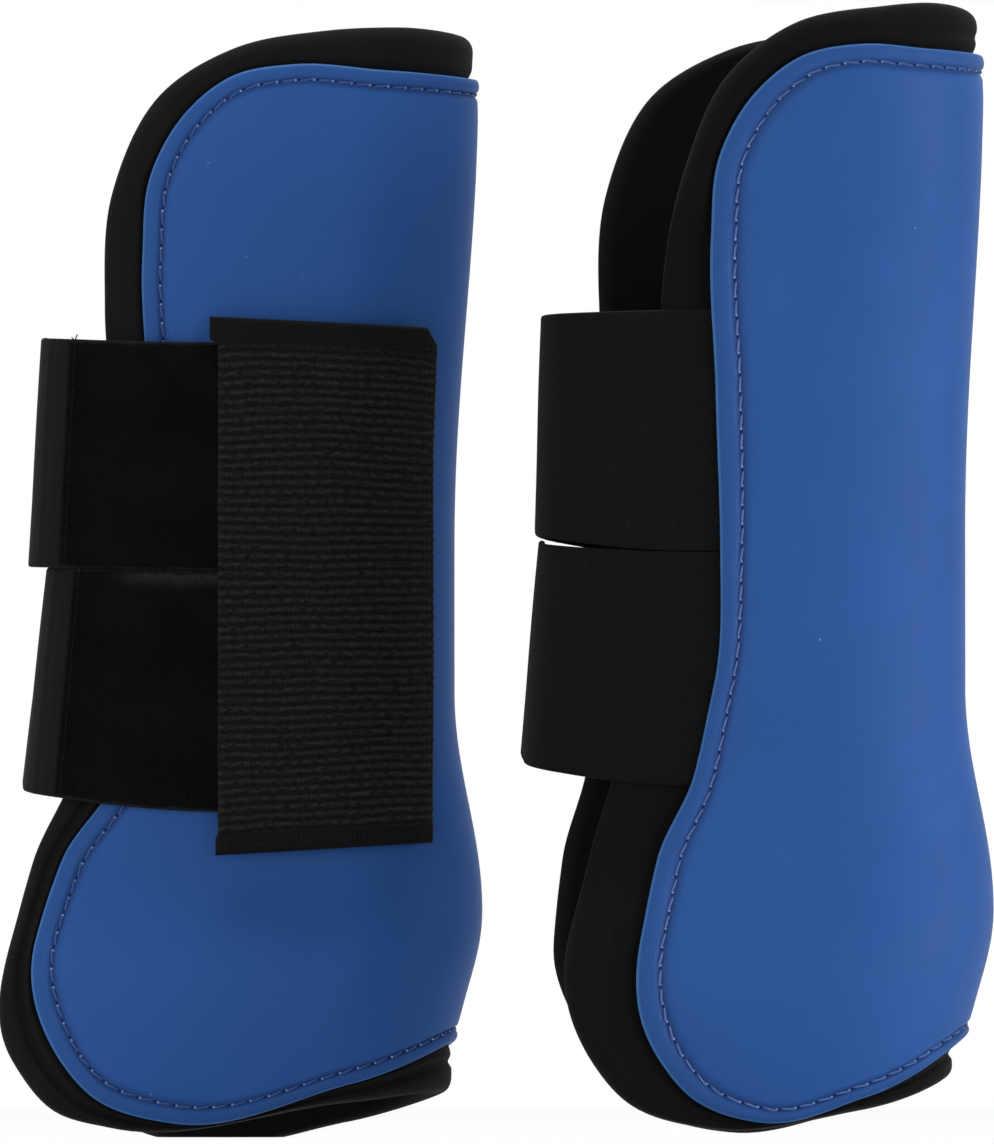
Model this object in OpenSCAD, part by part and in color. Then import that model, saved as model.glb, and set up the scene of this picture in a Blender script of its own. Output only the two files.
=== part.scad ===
// A pair of open-front tendon boots, one for the left leg and its mirror image for the right.
// Each boot is a moulded shell over a foam core with a soft lining, closed round the open
// front by two elastic straps that end in one hook-and-loop tab.
// Millimetres. +Z runs up the leg, +X to the back of the leg.

/* [Shell outline] */
// Top of the shell on the outer flap
lateral_top = 269.5; // [266:0.5:272]
// Top of the shell on the inner flap
medial_top = 271; // [267:0.5:273]
// Top of the shell at the back
shell_back_top = 266.5; // [263:0.5:268]
// Bottom of the shell at the back
shell_back_low = 24; // [21:0.5:27]
// Lowest point of the shell
shell_low = 3.5; // [2.5:0.5:5]
// Reach of the outer flap near the top, forward of the back of the waist
lateral_reach_top = 78.5; // [74:0.5:80]
// Reach of the outer flap at the waist
lateral_reach_waist = 75.5; // [73:0.5:78]
// Reach of the outer flap at the fetlock lobe
lateral_reach_lobe = 106; // [100:0.5:107]
// Reach of the inner flap near the top
medial_reach_top = 64.5; // [62:0.5:67]
// Reach of the inner flap at the waist
medial_reach_waist = 60.5; // [59:0.5:63]
// Reach of the inner flap at the fetlock lobe
medial_reach_lobe = 82.5; // [79:0.5:85]

/* [Lining outline] */
// Top of the lining on the outer flap
lining_lateral_top = 278; // [276:0.5:280]
// Top of the lining on the inner flap
lining_medial_top = 278; // [277:0.5:280]
// Top of the lining at the back
lining_back_top = 277.5; // [275:0.5:279]
// Bottom of the lining at the back
lining_back_low = 12; // [11:0.5:15]
// Lining past the shell's front edge near the top and at the waist, outer flap
lateral_margin = 9.5; // [8:0.5:11]
// Lining past the shell's front edge at the lobe, outer flap
lateral_lobe_margin = 5.5; // [5:0.5:8]
// Lining past the shell's front edge near the top, inner flap
medial_margin = 11; // [9:0.5:12.5]
// Lining past the shell's front edge at the waist, inner flap
medial_waist_margin = 15; // [13:0.5:17]
// Lining past the shell's front edge at the lobe, inner flap
medial_lobe_margin = 18; // [15:0.5:19]
// Swell of the lining where it stands out past the shell
lining_swell = 2.4; // [2:0.1:2.8]

/* [Section] */
// Half width over the lining's outside at the waist
half_w = 24.5; // [23:0.5:28]
// Depth of the rounded back
back_depth = 22; // [20:0.5:25]
// Thickness of the lining
lining_t = 5.5; // [4.5:0.5:6.5]
// Thickness of the foam core
core_t = 2; // [2:0.1:2.4]
// Thickness of the shell's skin
skin_t = 1.8; // [1.5:0.1:2]
// Backward bulge at the fetlock
fetlock_bulge = 7; // [4:0.5:9]
// Sideways spread at the fetlock
fetlock_spread = 5; // [3:0.5:6]
// Backward lean of the left boot's top
left_lean = 6; // [3:0.5:8]
// Backward lean of the right boot's top
right_lean = 4.5; // [3:0.5:8]
// Sideways spread at the top
top_spread = 2.5; // [1:0.5:4]

/* [Edge seam] */
// Stitch row in from the shell's edge
seam_inset = 5.25; // [4:0.25:5.5]
// Foam core in from the shell's edge
core_inset = 8; // [7.5:0.25:9]
// Thread radius
thread_r = 0.45; // [0.3:0.05:0.5]

/* [Straps] */
// Strap width
strap_w = 57.5; // [54:0.5:58]
// Strap thickness
strap_t = 1.6; // [1.2:0.1:1.6]
// Bottom edge of the lower strap
strap_low = 86; // [84:0.5:88]
// Gap between the two straps
strap_gap = 1; // [1:0.5:3]
// Front of the straps, forward of the back of the waist
strap_front = 106.5; // [105:0.5:110]
// Inside radius of the straps' bends
bend_r = 8; // [6:0.5:10]
// Thickness of the pile tape
pile_t = 1.2; // [0.8:0.1:1.2]
// Front end of the pile tape
pile_front = 94; // [90:0.5:95]
// Bar seam width at the front end of the pile tape
bar_w = 2.4; // [1.5:0.1:3]

/* [Closing tab] */
// Front edge of the tab
tab_front = 60.5; // [56:0.5:62]
// Back edge of the tab, seen from the side
tab_back = 5.5; // [4:0.5:9]
// Bottom edge of the tab
tab_low = 71; // [70.5:0.5:75]
// Top edge of the tab
tab_top = 205.5; // [204:0.5:206]
// Thickness of the tab's webbing
tab_t = 1.8; // [1.4:0.1:2.2]
// Straps' ends under the tab
tab_overlap = 13; // [10:0.5:16]
// Thickness of the loop patch
loop_t = 0.9; // [0.7:0.1:0.9]

/* [Pair] */
// Step from the left boot to the right boot, along the row
pair_step = 128; // [128:1:180]
// Right boot stands this far in front of the left boot
pair_stagger = 130; // [130:1:180]
// Right boot's outer lobe is tucked in by this much
right_lobe_tuck = 9; // [0:0.5:10]
// Right boot's outer flap leans forward at the top by this much
right_top_ease = 4; // [0:0.5:5]
// Right boot's back and inner lining stand higher, and its outer lining lower, by this much
right_tilt = 2.5; // [0:0.5:3]
// Right boot's back stands forward by this much
right_back_in = 1.4; // [0:0.2:2]

/* [Hidden] */
NU = 16;
NZ = 16;
$fn = 48;
shell_h = core_t + skin_t;
arc_u = PI / 2 * sqrt((pow(back_depth, 2) + pow(half_w, 2)) / 2);
waist_z = 146;
lobe_z = 46;
strap_top = strap_low + 2 * strap_w + strap_gap;
flat_low = 70;
flat_top = 206;
clear = 0.3;
root_h = 0.2;
loop_h = shell_h + 0.4;
side_h = loop_h + loop_t + clear;
tab_h = side_h + strap_t + pile_t;
backing_h = side_h + (tab_h - side_h) / 2;
bend_o = bend_r + strap_t;
bend_x = bend_o - strap_front;
side_y = -(half_w + side_h + strap_t);
side_bend_y = side_y + bend_o;
root_bend_y = half_w + root_h - bend_r;
bend_steps = 10;
half_gap = 0.9;
under_edge = 6;
groove = 0.6;
edge_round = 1.2;
lining_corner = 1.45;
left_toe = 0.8;
right_toe = 1.25;
back_share = 0.42;
lean_low = 150;
lean_top = 266;
heel_x = -26;
shell_heel = 8.3;
lining_heel = 6.5;
lining_crown = 1.2;
corner_puff = 2.2;
lining_flare = 0.13;
lining_low = -2;
row_shift = 2.35;
left_x = row_shift - (pair_step + fetlock_bulge - lateral_reach_lobe - lateral_lobe_margin) / 2;
shell_blue = [0.17, 0.33, 0.6];
soft_black = [0.09, 0.09, 0.1];
elastic = [0.2, 0.19, 0.19];
webbing = [0.13, 0.13, 0.14];

// Smooth step from 0 to 1, and a smooth hump of height 1
function rise(t) = (1 - cos(180 * min(1, max(0, t)))) / 2;
function hump(t) = (1 + cos(180 * min(1, abs(t)))) / 2;

// The boot's section at height z: half width, back line and centre of the rounded back.
// $lean is the backward lean of the boot being made, and $back how far forward its back stands.
function half_at(z) =
    half_w + top_spread * rise((z - flat_top) / 64)
    + fetlock_spread * hump((z - 38) / (z > 38 ? flat_low - 38 : 38));
function back_at(z) =
    $lean * rise((z - lean_low) / (lean_top - lean_low)) - $back
    + fetlock_bulge * hump((z - 57) / (z > 57 ? 55 : 38));
function centre_at(z) = back_at(z) - shell_h - back_depth;

// Girth coordinate u, 0 at the back and positive on the outer flap, of a point seen at x
function u_at(x, z, h) =
    let (c = centre_at(z))
    x <= c ? arc_u + c - x : arc_u * acos(min(1, (x - c) / (back_depth + h))) / 90;

// The point at girth u and height z, h outside the lining's outer face
function wrap(u, z, h) =
    let (s = abs(u), a = 90 * min(1, s / arc_u))
    [
        centre_at(z) + (back_depth + h) * cos(a) - max(0, s - arc_u),
        (u > 0 ? -1 : 1) * (half_at(z) + h) * sin(a),
        max(0, z)
    ];

// Half of a flap's outline from the top to the heel, as points seen from the side: z_back is its
// height at the back, crown its swell before that, heel its rise from its lowest point.
// corner and toe scale the roundness of the top corner and of the lobe's lower corner, puff fills
// the top corner out, and flare starts the lobe higher up.
function flap_knots(
    top, waist, lobe, z_top, z_low, z_back, heel, crown = 0, corner = 1, toe = 1, puff = 0, flare = 0
) =
    let (d = lobe - waist, rise_z = waist_z - lobe_z)
    [
        [back_share * (38 * corner - top), (z_top + z_back) / 2 + crown],
        [38 * corner - top, z_top],
        [22.5 * corner - top, z_top - 3 * corner],
        [11 * corner - top - puff, z_top - 12 * corner + puff / 2],
        [2 * corner - top - 0.3 * puff, z_top - 28 * corner],
        [-top, z_top - 48 * corner],
        [-(top + waist) / 2, waist_z + 39],
        [-waist, waist_z],
        [(0.93 - 0.4 * flare) * d - lobe, lobe_z + 0.67 * rise_z],
        [(0.68 - flare) * d - lobe, lobe_z + 0.44 * rise_z],
        [0.23 * d - lobe, lobe_z + 0.23 * rise_z],
        [-lobe, lobe_z],
        [3.5 * toe - lobe, z_low + 22 * toe],
        [16 * toe - lobe, z_low + 6 * toe],
        [36 * toe - lobe, z_low],
        [heel_x, z_low + heel]
    ];

// Closed outline in girth and height: back top, outer flap, back bottom, inner flap
function knots(lateral, medial, back_top, back_low) =
    concat(
        [[0, back_top]],
        [for (p = lateral) [u_at(p[0], p[1], shell_h), p[1]]],
        [[0, back_low]],
        [for (i = [len(medial) - 1 : -1 : 0]) [-u_at(medial[i][0], medial[i][1], shell_h), medial[i][1]]]
    );

// Slope of a smooth curve at the knot b between a and c: the nearer neighbour counts more
function slope(a, b, c) =
    let (p = norm(b - a), q = norm(c - b))
    ((b - a) * q / p + (c - b) * p / q) / (p + q);

// Smooth closed curve through the knots, at knot number t
function curve_at(k, t) =
    let (
        n = len(k), i = floor(t), f = t - i,
        a = k[(i - 1 + 2 * n) % n], b = k[(i + 2 * n) % n],
        c = k[(i + 1 + 2 * n) % n], d = k[(i + 2 + 2 * n) % n],
        span = norm(c - b), start = span * slope(a, b, c), end = span * slope(b, c, d)
    )
    b + f * start + f * f * (3 * (c - b) - 2 * start - end) + f * f * f * (2 * (b - c) + start + end);

// n points at even spacing along the curve from knot t0 up to, not including, knot t1
function stretch(k, t0, t1, n) =
    let (
        m = 80,
        ts = [for (i = [0 : m]) t0 + (t1 - t0) * i / m],
        ps = [for (t = ts) curve_at(k, t)],
        run = [for (i = 0, s = 0; i <= m; i = i + 1, s = s + (i <= m ? norm(ps[i] - ps[i - 1]) : 0)) s],
        table = [for (i = [0 : m]) [run[i], ts[i]]]
    )
    [for (i = [0 : n - 1]) curve_at(k, lookup(run[m] * i / n, table))];

// The outline as one loop: top edge, inner front, bottom edge, outer front
function outline(k) =
    concat(
        stretch(k, 4, -4, NU), stretch(k, 30, 20, NZ),
        stretch(k, 20, 14, NU), stretch(k, 14, 4, NZ)
    );

// A loop moved inward by d
function inset(loop, d) =
    let (n = len(loop))
    [
        for (i = [0 : n - 1])
            let (t = loop[(i + 1) % n] - loop[(i + n - 1) % n])
            loop[i] + d * [-t[1], t[0]] / norm(t)
    ];

// Grid point i, j inside a loop of nu by nz cells, blended from its four sides
function side_top(l, i, nu, nz) = l[i];
function side_low(l, i, nu, nz) = l[nu + nz + nu - i];
function side_in(l, j, nu, nz) = l[nu + nz - j];
function side_out(l, j, nu, nz) = l[(2 * nu + nz + j) % len(l)];
function blend(l, i, j, nu, nz) =
    let (s = i / nu, t = j / nz)
    (1 - t) * side_low(l, i, nu, nz) + t * side_top(l, i, nu, nz)
    + (1 - s) * side_out(l, j, nu, nz) + s * side_in(l, j, nu, nz)
    - (1 - s) * (1 - t) * side_low(l, 0, nu, nz) - s * (1 - t) * side_low(l, nu, nu, nz)
    - (1 - s) * t * side_top(l, 0, nu, nz) - s * t * side_top(l, nu, nu, nz);

function split(q) = [[q[0], q[1], q[2]], [q[0], q[2], q[3]]];
function back_face(t) = [t[2], t[1], t[0]];

// A layer of the boot: loops from its edge inward, then a grid inside the last loop.
// up and down give the height of its two faces at each loop point and in the middle.
module layer(loops, up, down, mid_up, mid_down, nu = NU, nz = NZ) {
    n = len(loops[0]);
    r = len(loops);
    last = loops[r - 1];
    inner = [for (j = [1 : nz - 1]) for (i = [1 : nu - 1]) blend(last, i, j, nu, nz)];
    count = r * n + len(inner);
    top_pts = concat(
        [for (a = [0 : r - 1]) for (k = [0 : n - 1]) wrap(loops[a][k][0], loops[a][k][1], up[a][k])],
        [for (p = inner) wrap(p[0], p[1], mid_up)]
    );
    low_pts = concat(
        [for (a = [0 : r - 1]) for (k = [0 : n - 1]) wrap(loops[a][k][0], loops[a][k][1], down[a][k])],
        [for (p = inner) wrap(p[0], p[1], mid_down)]
    );
    base = (r - 1) * n;
    id = function (i, j)
        j == nz ? base + i
        : i == nu ? base + nu + nz - j
        : j == 0 ? base + 2 * nu + nz - i
        : i == 0 ? base + 2 * nu + nz + j
        : r * n + (j - 1) * (nu - 1) + i - 1;
    bands = r < 2 ? [] : [
        for (a = [0 : r - 2]) for (k = [0 : n - 1])
            [a * n + k, a * n + (k + 1) % n, (a + 1) * n + (k + 1) % n, (a + 1) * n + k]
    ];
    cells = [
        for (j = [0 : nz - 1]) for (i = [0 : nu - 1])
            [id(i, j), id(i, j + 1), id(i + 1, j + 1), id(i + 1, j)]
    ];
    skin = [for (q = concat(bands, cells)) each split(q)];
    rim = [for (k = [0 : n - 1]) each split([(k + 1) % n, k, count + k, count + (k + 1) % n])];
    under = [for (t = skin) back_face(t) + [count, count, count]];
    polyhedron(concat(top_pts, low_pts), concat(skin, rim, under));
}

// A loop round a rectangle seen from the side on the outer flap
function panel(x0, x1, z0, z1, h, nu, nz) =
    let (
        u0 = function (z) u_at(x0, z, h),
        u1 = function (z) u_at(x1, z, h),
        dz = (z1 - z0) / nz
    )
    concat(
        [for (i = [0 : nu - 1]) [u0(z1) + (u1(z1) - u0(z1)) * i / nu, z1]],
        [for (j = [0 : nz - 1]) [u1(z1 - j * dz), z1 - j * dz]],
        [for (i = [0 : nu - 1]) [u1(z0) + (u0(z0) - u1(z0)) * i / nu, z0]],
        [for (j = [0 : nz - 1]) [u0(z0 + j * dz), z0 + j * dz]]
    );

// A flat-made piece lying on the outer flap between two heights
module on_flap(x0, x1, z0, z1, h0, h1) {
    nu = 10;
    nz = 8;
    loop = panel(x0, x1, z0, z1, tab_h, nu, nz);
    high = [for (p = loop) h1];
    low = [for (p = loop) h0];
    layer([loop], [high], [low], h1, h0, nu, nz);
}

// The inner flap's edge of the shell, with the back raised by lift
function medial_knots(lift) =
    flap_knots(
        medial_reach_top, medial_reach_waist, medial_reach_lobe,
        medial_top, shell_low, shell_back_top + lift, shell_heel
    );

// The loops of one boot's layers: its outer flap's lobe is tucked in and its top eased forward,
// toe scales the roundness of that flap's lining, and lift raises the back and the inner lining
function pattern(tuck, ease, toe, lift, $lean, $back) =
    let (
        lobe = lateral_reach_lobe - tuck,
        top = lateral_reach_top + ease,
        waist = lateral_reach_waist + ease / 2,
        shell_back = shell_back_top + lift,
        lining_back = lining_back_top + lift,
        edge = outline(knots(
            flap_knots(top, waist, lobe, lateral_top, shell_low, shell_back, shell_heel),
            medial_knots(lift),
            shell_back, shell_back_low + lift
        )),
        lining_edge = outline(knots(
            flap_knots(
                top + lateral_margin, waist + lateral_margin, lobe + lateral_lobe_margin,
                lining_lateral_top - lift, lining_low, lining_back, lining_heel,
                lining_crown, lining_corner, toe, corner_puff, lining_flare
            ),
            flap_knots(
                medial_reach_top + medial_margin, medial_reach_waist + medial_waist_margin,
                medial_reach_lobe + medial_lobe_margin, lining_medial_top + lift, lining_low,
                lining_back, lining_heel, lining_crown, lining_corner, 1, corner_puff, lining_flare
            ),
            lining_back, lining_back_low + lift
        ))
    )
    [
        lining_edge, edge + 0.7 * (lining_edge - edge), edge,
        inset(edge, seam_inset / 2), inset(edge, seam_inset), inset(edge, core_inset)
    ];

left_pattern = pattern(0, 0, left_toe, 0, left_lean, 0);
right_pattern =
    pattern(right_lobe_tuck, right_top_ease, right_toe, right_tilt, right_lean, right_back_in);

// 1 where the straps' ends lie between shell and lining on the inner flap, else 0
function pocket(p) =
    p[0] > -arc_u ? 0
    : rise((p[1] - strap_low + 36) / 14) * rise((strap_top + 36 - p[1]) / 14);
function level(loop, h) = [for (p = loop) h];
function pocketed(loop, h) = [for (p = loop) h * (1 - pocket(p))];

module shell(loops) {
    color(shell_blue)
        layer(
            [for (a = [2 : 5]) loops[a]],
            [
                level(loops[2], core_t + 0.5 * skin_t), level(loops[3], shell_h + 0.3),
                level(loops[4], shell_h - groove), level(loops[5], shell_h)
            ],
            [for (a = [2 : 5]) level(loops[a], core_t)],
            shell_h, core_t
        );
}

module core(loops) {
    color([0.75, 0.75, 0.72])
        layer([loops[5]], [level(loops[5], core_t)], [level(loops[5], 0)], core_t, 0);
}

module lining(loops) {
    color(soft_black)
        layer(
            loops,
            [
                pocketed(loops[0], lining_swell) - level(loops[0], edge_round),
                pocketed(loops[1], lining_swell), pocketed(loops[2], core_t),
                pocketed(loops[3], core_t), pocketed(loops[4], core_t), level(loops[5], 0)
            ],
            [for (a = [0 : 5]) level(loops[a], a == 0 ? edge_round - lining_t : -lining_t)],
            0, -lining_t
        );
}

// Thread laid round the shell along the seam, four-sided in section
module edge_thread(loops) {
    seam = loops[4];
    n = len(seam);
    path = [for (p = seam) wrap(p[0], p[1], shell_h - groove + thread_r + 0.1)];
    out = [for (p = seam) wrap(p[0], p[1], 1) - wrap(p[0], p[1], 0)];
    pts = [
        for (k = [0 : n - 1])
            let (
                t = path[(k + 1) % n] - path[(k + n - 1) % n],
                b = cross(t, out[k]) / norm(cross(t, out[k])),
                a = out[k] / norm(out[k])
            )
            for (s = [0 : 3]) path[k] + thread_r * (cos(90 * s) * a + sin(90 * s) * b)
    ];
    quads = [
        for (k = [0 : n - 1]) for (s = [0 : 3])
            [4 * k + s, 4 * ((k + 1) % n) + s, 4 * ((k + 1) % n) + (s + 1) % 4, 4 * k + (s + 1) % 4]
    ];
    color([0.3, 0.34, 0.5])
        polyhedron(pts, [for (q = quads) each split(q)]);
}

// Points round a bend of strap whose centre is at y, at radius r from angle a0 to a1
function bend_line(y, r, a0, a1) =
    [
        for (i = [0 : bend_steps])
            let (a = a0 + (a1 - a0) * i / bend_steps)
            [bend_x + r * cos(a), y + r * sin(a)]
    ];

// A length of strap, upright, between its outer line and its inner line
module strap_length(outer, inner, z) {
    translate([0, 0, z])
        linear_extrude(strap_w)
            polygon(concat(outer, [for (i = [len(inner) - 1 : -1 : 0]) inner[i]]));
}

// Strap from under the inner flap's edge to the middle of its first bend.
// Its end runs parallel to that edge, clear of the foam core.
module strap_root(z) {
    edge = medial_knots(0);
    end = [for (i = [5 : 10]) [edge[i][0] + under_edge, edge[i][1]]];
    line = function (r) concat(
        [[2 * under_edge - medial_reach_waist, root_bend_y + r]],
        bend_line(root_bend_y, r, 90, 135 - half_gap)
    );
    color(elastic)
        intersection() {
            strap_length(line(bend_o), line(bend_r), z);
            translate([0, half_w + bend_r, 0])
                rotate([90, 0, 0])
                    linear_extrude(2 * bend_r)
                        polygon(concat(end, [[-2 * strap_front, end[5][1]], [-2 * strap_front, end[0][1]]]));
        }
}

// Strap across the open front, from the middle of one bend to the middle of the next
module strap_front_length(z) {
    line = function (r) concat(
        bend_line(root_bend_y, r, 135 + half_gap, 180), bend_line(side_bend_y, r, 180, 225 - half_gap)
    );
    color(elastic)
        strap_length(line(bend_o), line(bend_r), z);
}

// Strap from the middle of the second bend back to its end under the tab
module strap_side(z) {
    end = tab_overlap - tab_front;
    line = function (r) concat(
        bend_line(side_bend_y, r, 225 + half_gap, 270), [[end, side_bend_y - r]]
    );
    color(elastic)
        strap_length(line(bend_o), line(bend_r), z);
}

module pile_tape(z) {
    color(soft_black)
        translate([-pile_front, side_y - pile_t, z])
            cube([pile_front - tab_front + tab_overlap, pile_t, strap_w]);
}

// Bar of stitching over the front end of the pile tape
module bar_seam(z) {
    color([0.16, 0.15, 0.15])
        translate([-pile_front + 0.8, side_y - pile_t - 0.5, z + 1])
            cube([bar_w, 0.5, strap_w - 2]);
}

module closing_tab() {
    color(webbing)
        on_flap(-tab_front, -tab_back, tab_low, tab_top, tab_h, tab_h + tab_t);
}

module tab_backing() {
    color(webbing)
        on_flap(tab_overlap + 1 - tab_front, -tab_back - 0.5, tab_low, tab_top, backing_h, tab_h);
}

module hook_pad() {
    color([0.05, 0.05, 0.05])
        on_flap(tab_overlap + 1 - tab_front, -tab_back - 2, tab_low + 3, tab_top - 3, side_h, backing_h);
}

module loop_patch() {
    color(soft_black)
        on_flap(2 - tab_front, -tab_back - 2, tab_low + 3, tab_top - 3, loop_h, loop_h + loop_t);
}

module left_place() {
    $lean = left_lean;
    $back = 0;
    translate([left_x, pair_stagger / 2, 0])
        children();
}

module right_place() {
    $lean = right_lean;
    $back = right_back_in;
    translate([left_x + pair_step, -pair_stagger / 2, 0])
        mirror([0, 1, 0])
            children();
}

upper_z = strap_low + strap_w + strap_gap;
lower_z = strap_low;

module left_shell() { left_place() shell(left_pattern); }
module left_core() { left_place() core(left_pattern); }
module left_lining() { left_place() lining(left_pattern); }
module left_edge_thread() { left_place() edge_thread(left_pattern); }
module left_loop_patch() { left_place() loop_patch(); }
module left_upper_strap_root() { left_place() strap_root(upper_z); }
module left_lower_strap_root() { left_place() strap_root(lower_z); }
module left_upper_strap_front() { left_place() strap_front_length(upper_z); }
module left_lower_strap_front() { left_place() strap_front_length(lower_z); }
module left_upper_strap_side() { left_place() strap_side(upper_z); }
module left_lower_strap_side() { left_place() strap_side(lower_z); }
module left_upper_pile_tape() { left_place() pile_tape(upper_z); }
module left_lower_pile_tape() { left_place() pile_tape(lower_z); }
module left_upper_bar_seam() { left_place() bar_seam(upper_z); }
module left_lower_bar_seam() { left_place() bar_seam(lower_z); }
module left_closing_tab() { left_place() closing_tab(); }
module left_tab_backing() { left_place() tab_backing(); }
module left_hook_pad() { left_place() hook_pad(); }
module right_shell() { right_place() shell(right_pattern); }
module right_core() { right_place() core(right_pattern); }
module right_lining() { right_place() lining(right_pattern); }
module right_edge_thread() { right_place() edge_thread(right_pattern); }
module right_loop_patch() { right_place() loop_patch(); }
module right_upper_strap_root() { right_place() strap_root(upper_z); }
module right_lower_strap_root() { right_place() strap_root(lower_z); }
module right_upper_strap_front() { right_place() strap_front_length(upper_z); }
module right_lower_strap_front() { right_place() strap_front_length(lower_z); }
module right_upper_strap_side() { right_place() strap_side(upper_z); }
module right_lower_strap_side() { right_place() strap_side(lower_z); }
module right_upper_pile_tape() { right_place() pile_tape(upper_z); }
module right_lower_pile_tape() { right_place() pile_tape(lower_z); }
module right_upper_bar_seam() { right_place() bar_seam(upper_z); }
module right_lower_bar_seam() { right_place() bar_seam(lower_z); }
module right_closing_tab() { right_place() closing_tab(); }
module right_tab_backing() { right_place() tab_backing(); }
module right_hook_pad() { right_place() hook_pad(); }

left_shell();
left_core();
left_lining();
left_edge_thread();
left_loop_patch();
left_upper_strap_root();
left_lower_strap_root();
left_upper_strap_front();
left_lower_strap_front();
left_upper_strap_side();
left_lower_strap_side();
left_upper_pile_tape();
left_lower_pile_tape();
left_upper_bar_seam();
left_lower_bar_seam();
left_closing_tab();
left_tab_backing();
left_hook_pad();
right_shell();
right_core();
right_lining();
right_edge_thread();
right_loop_patch();
right_upper_strap_root();
right_lower_strap_root();
right_upper_strap_front();
right_lower_strap_front();
right_upper_strap_side();
right_lower_strap_side();
right_upper_pile_tape();
right_lower_pile_tape();
right_upper_bar_seam();
right_lower_bar_seam();
right_closing_tab();
right_tab_backing();
right_hook_pad();
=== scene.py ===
# %% [markdown]
# # A pair of tendon boots
# A tendon boot is a moulded shell round the back of a horse's lower leg, with a soft black
# lining and two elastic straps across the open front. In this lesson every piece is a surface
# worked out with numpy from a few sizes, put into a mesh, and hung on the moving frame that
# was packed from the CAD solids. All sizes are in millimetres until a mesh is made.

import bpy
import numpy as np
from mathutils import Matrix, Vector


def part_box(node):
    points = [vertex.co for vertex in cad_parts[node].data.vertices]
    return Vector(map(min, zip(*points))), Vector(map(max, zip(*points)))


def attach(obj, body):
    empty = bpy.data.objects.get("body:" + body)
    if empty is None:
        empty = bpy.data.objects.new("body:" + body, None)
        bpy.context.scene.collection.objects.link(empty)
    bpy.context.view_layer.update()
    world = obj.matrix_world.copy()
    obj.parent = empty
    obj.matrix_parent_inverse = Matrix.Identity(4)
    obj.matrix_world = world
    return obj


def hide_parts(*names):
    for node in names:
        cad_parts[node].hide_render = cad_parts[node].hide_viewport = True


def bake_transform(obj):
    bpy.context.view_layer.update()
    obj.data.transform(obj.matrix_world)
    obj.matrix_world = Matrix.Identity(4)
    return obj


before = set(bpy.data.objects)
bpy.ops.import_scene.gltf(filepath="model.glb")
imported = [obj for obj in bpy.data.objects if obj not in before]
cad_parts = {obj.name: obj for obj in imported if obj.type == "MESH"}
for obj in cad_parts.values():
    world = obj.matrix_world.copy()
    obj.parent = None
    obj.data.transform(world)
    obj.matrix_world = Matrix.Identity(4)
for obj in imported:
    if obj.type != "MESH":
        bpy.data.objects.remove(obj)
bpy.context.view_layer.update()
MM = 0.001

# %% [markdown]
# The picture is taken from the side with a long lens, so the boots show almost no perspective.
# A camera nine metres away does the same, and four pixels of the picture are one millimetre.
# Its eye is low, near the floor, so the floor is seen edge-on.

# %% Camera
PICTURE = (994, 1144)
PIXELS_PER_MM = 4
CAMERA_AWAY = 9.0
EYE_HEIGHT = 0.020
AIM_HEIGHT = 0.1415
AIM_SIDE = 0.00115
SENSOR = 36

view_height = PICTURE[1] / PIXELS_PER_MM * MM
lens = bpy.data.cameras.new("camera")
lens.sensor_width = SENSOR
lens.lens = SENSOR * CAMERA_AWAY / view_height
camera = bpy.data.objects.new("camera", lens)
bpy.context.collection.objects.link(camera)
camera.location = (AIM_SIDE, -CAMERA_AWAY, EYE_HEIGHT)
aim = Vector((AIM_SIDE, 0, AIM_HEIGHT)) - camera.location
camera.rotation_euler = aim.to_track_quat("-Z", "Y").to_euler()
bpy.context.scene.camera = camera
print("lens", round(lens.lens), "mm")

# %% [markdown]
# ## The boot's section
# Seen from above, a boot is a letter U: a rounded back and two straight flaps. The back leans
# and bulges with height, and each boot leans a little differently, as soft boots do. A point of
# any layer is given by its girth u round the U, counted from the middle of the back, its height
# z, and its distance h outside the lining's outer face.

# %% Section sizes
HALF_W = 24.5
BACK_DEPTH = 22
LINING_T = 5.5
CORE_T = 2.0
SKIN_T = 1.8
SHELL_H = CORE_T + SKIN_T
ARC = np.pi / 2 * np.sqrt((BACK_DEPTH**2 + HALF_W**2) / 2)


def rise(t):
    """A smooth step: half a cosine wave from 0 up to 1."""
    return (1 - np.cos(np.pi * np.clip(t, 0, 1))) / 2


def hump(t):
    """A smooth hill of height 1 at t = 0 that ends at t = -1 and 1."""
    return (1 + np.cos(np.pi * np.clip(np.abs(t), 0, 1))) / 2


print("girth of the rounded back", round(2 * ARC, 1), "mm")

# %% [markdown]
# Width and back line change with height. The flaps spread at the top and round the fetlock, the
# joint above the hoof, and the back bulges there. A sculpted mesh could do this too, but with two
# formulas every layer of the boot follows the same form, however far out it lies.

# %% Section of the boot
FLAT_LOW, FLAT_TOP = 70, 206
TOP_SPREAD, TOP_RUN = 2.5, 64
FETLOCK_SPREAD, FETLOCK_Z = 5, 38
BULGE, BULGE_Z = 7, 57
BULGE_UP, BULGE_DOWN = 55, 38
LEAN_LOW, LEAN_TOP = 150, 266
LEAN = {"left": 6.0, "right": 4.5}
# How far the back stands inside its line
BACK_IN = {"left": 0.3, "right": 1.4}
# How far before the rounded back the flap already starts to turn in
EASE_IN = 8


def half_at(z):
    """Half width: the waist's, spread at the top and round the fetlock."""
    low = hump((z - FETLOCK_Z) / np.where(z > FETLOCK_Z, FLAT_LOW - FETLOCK_Z, FETLOCK_Z))
    return HALF_W + TOP_SPREAD * rise((z - FLAT_TOP) / TOP_RUN) + FETLOCK_SPREAD * low


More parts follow.
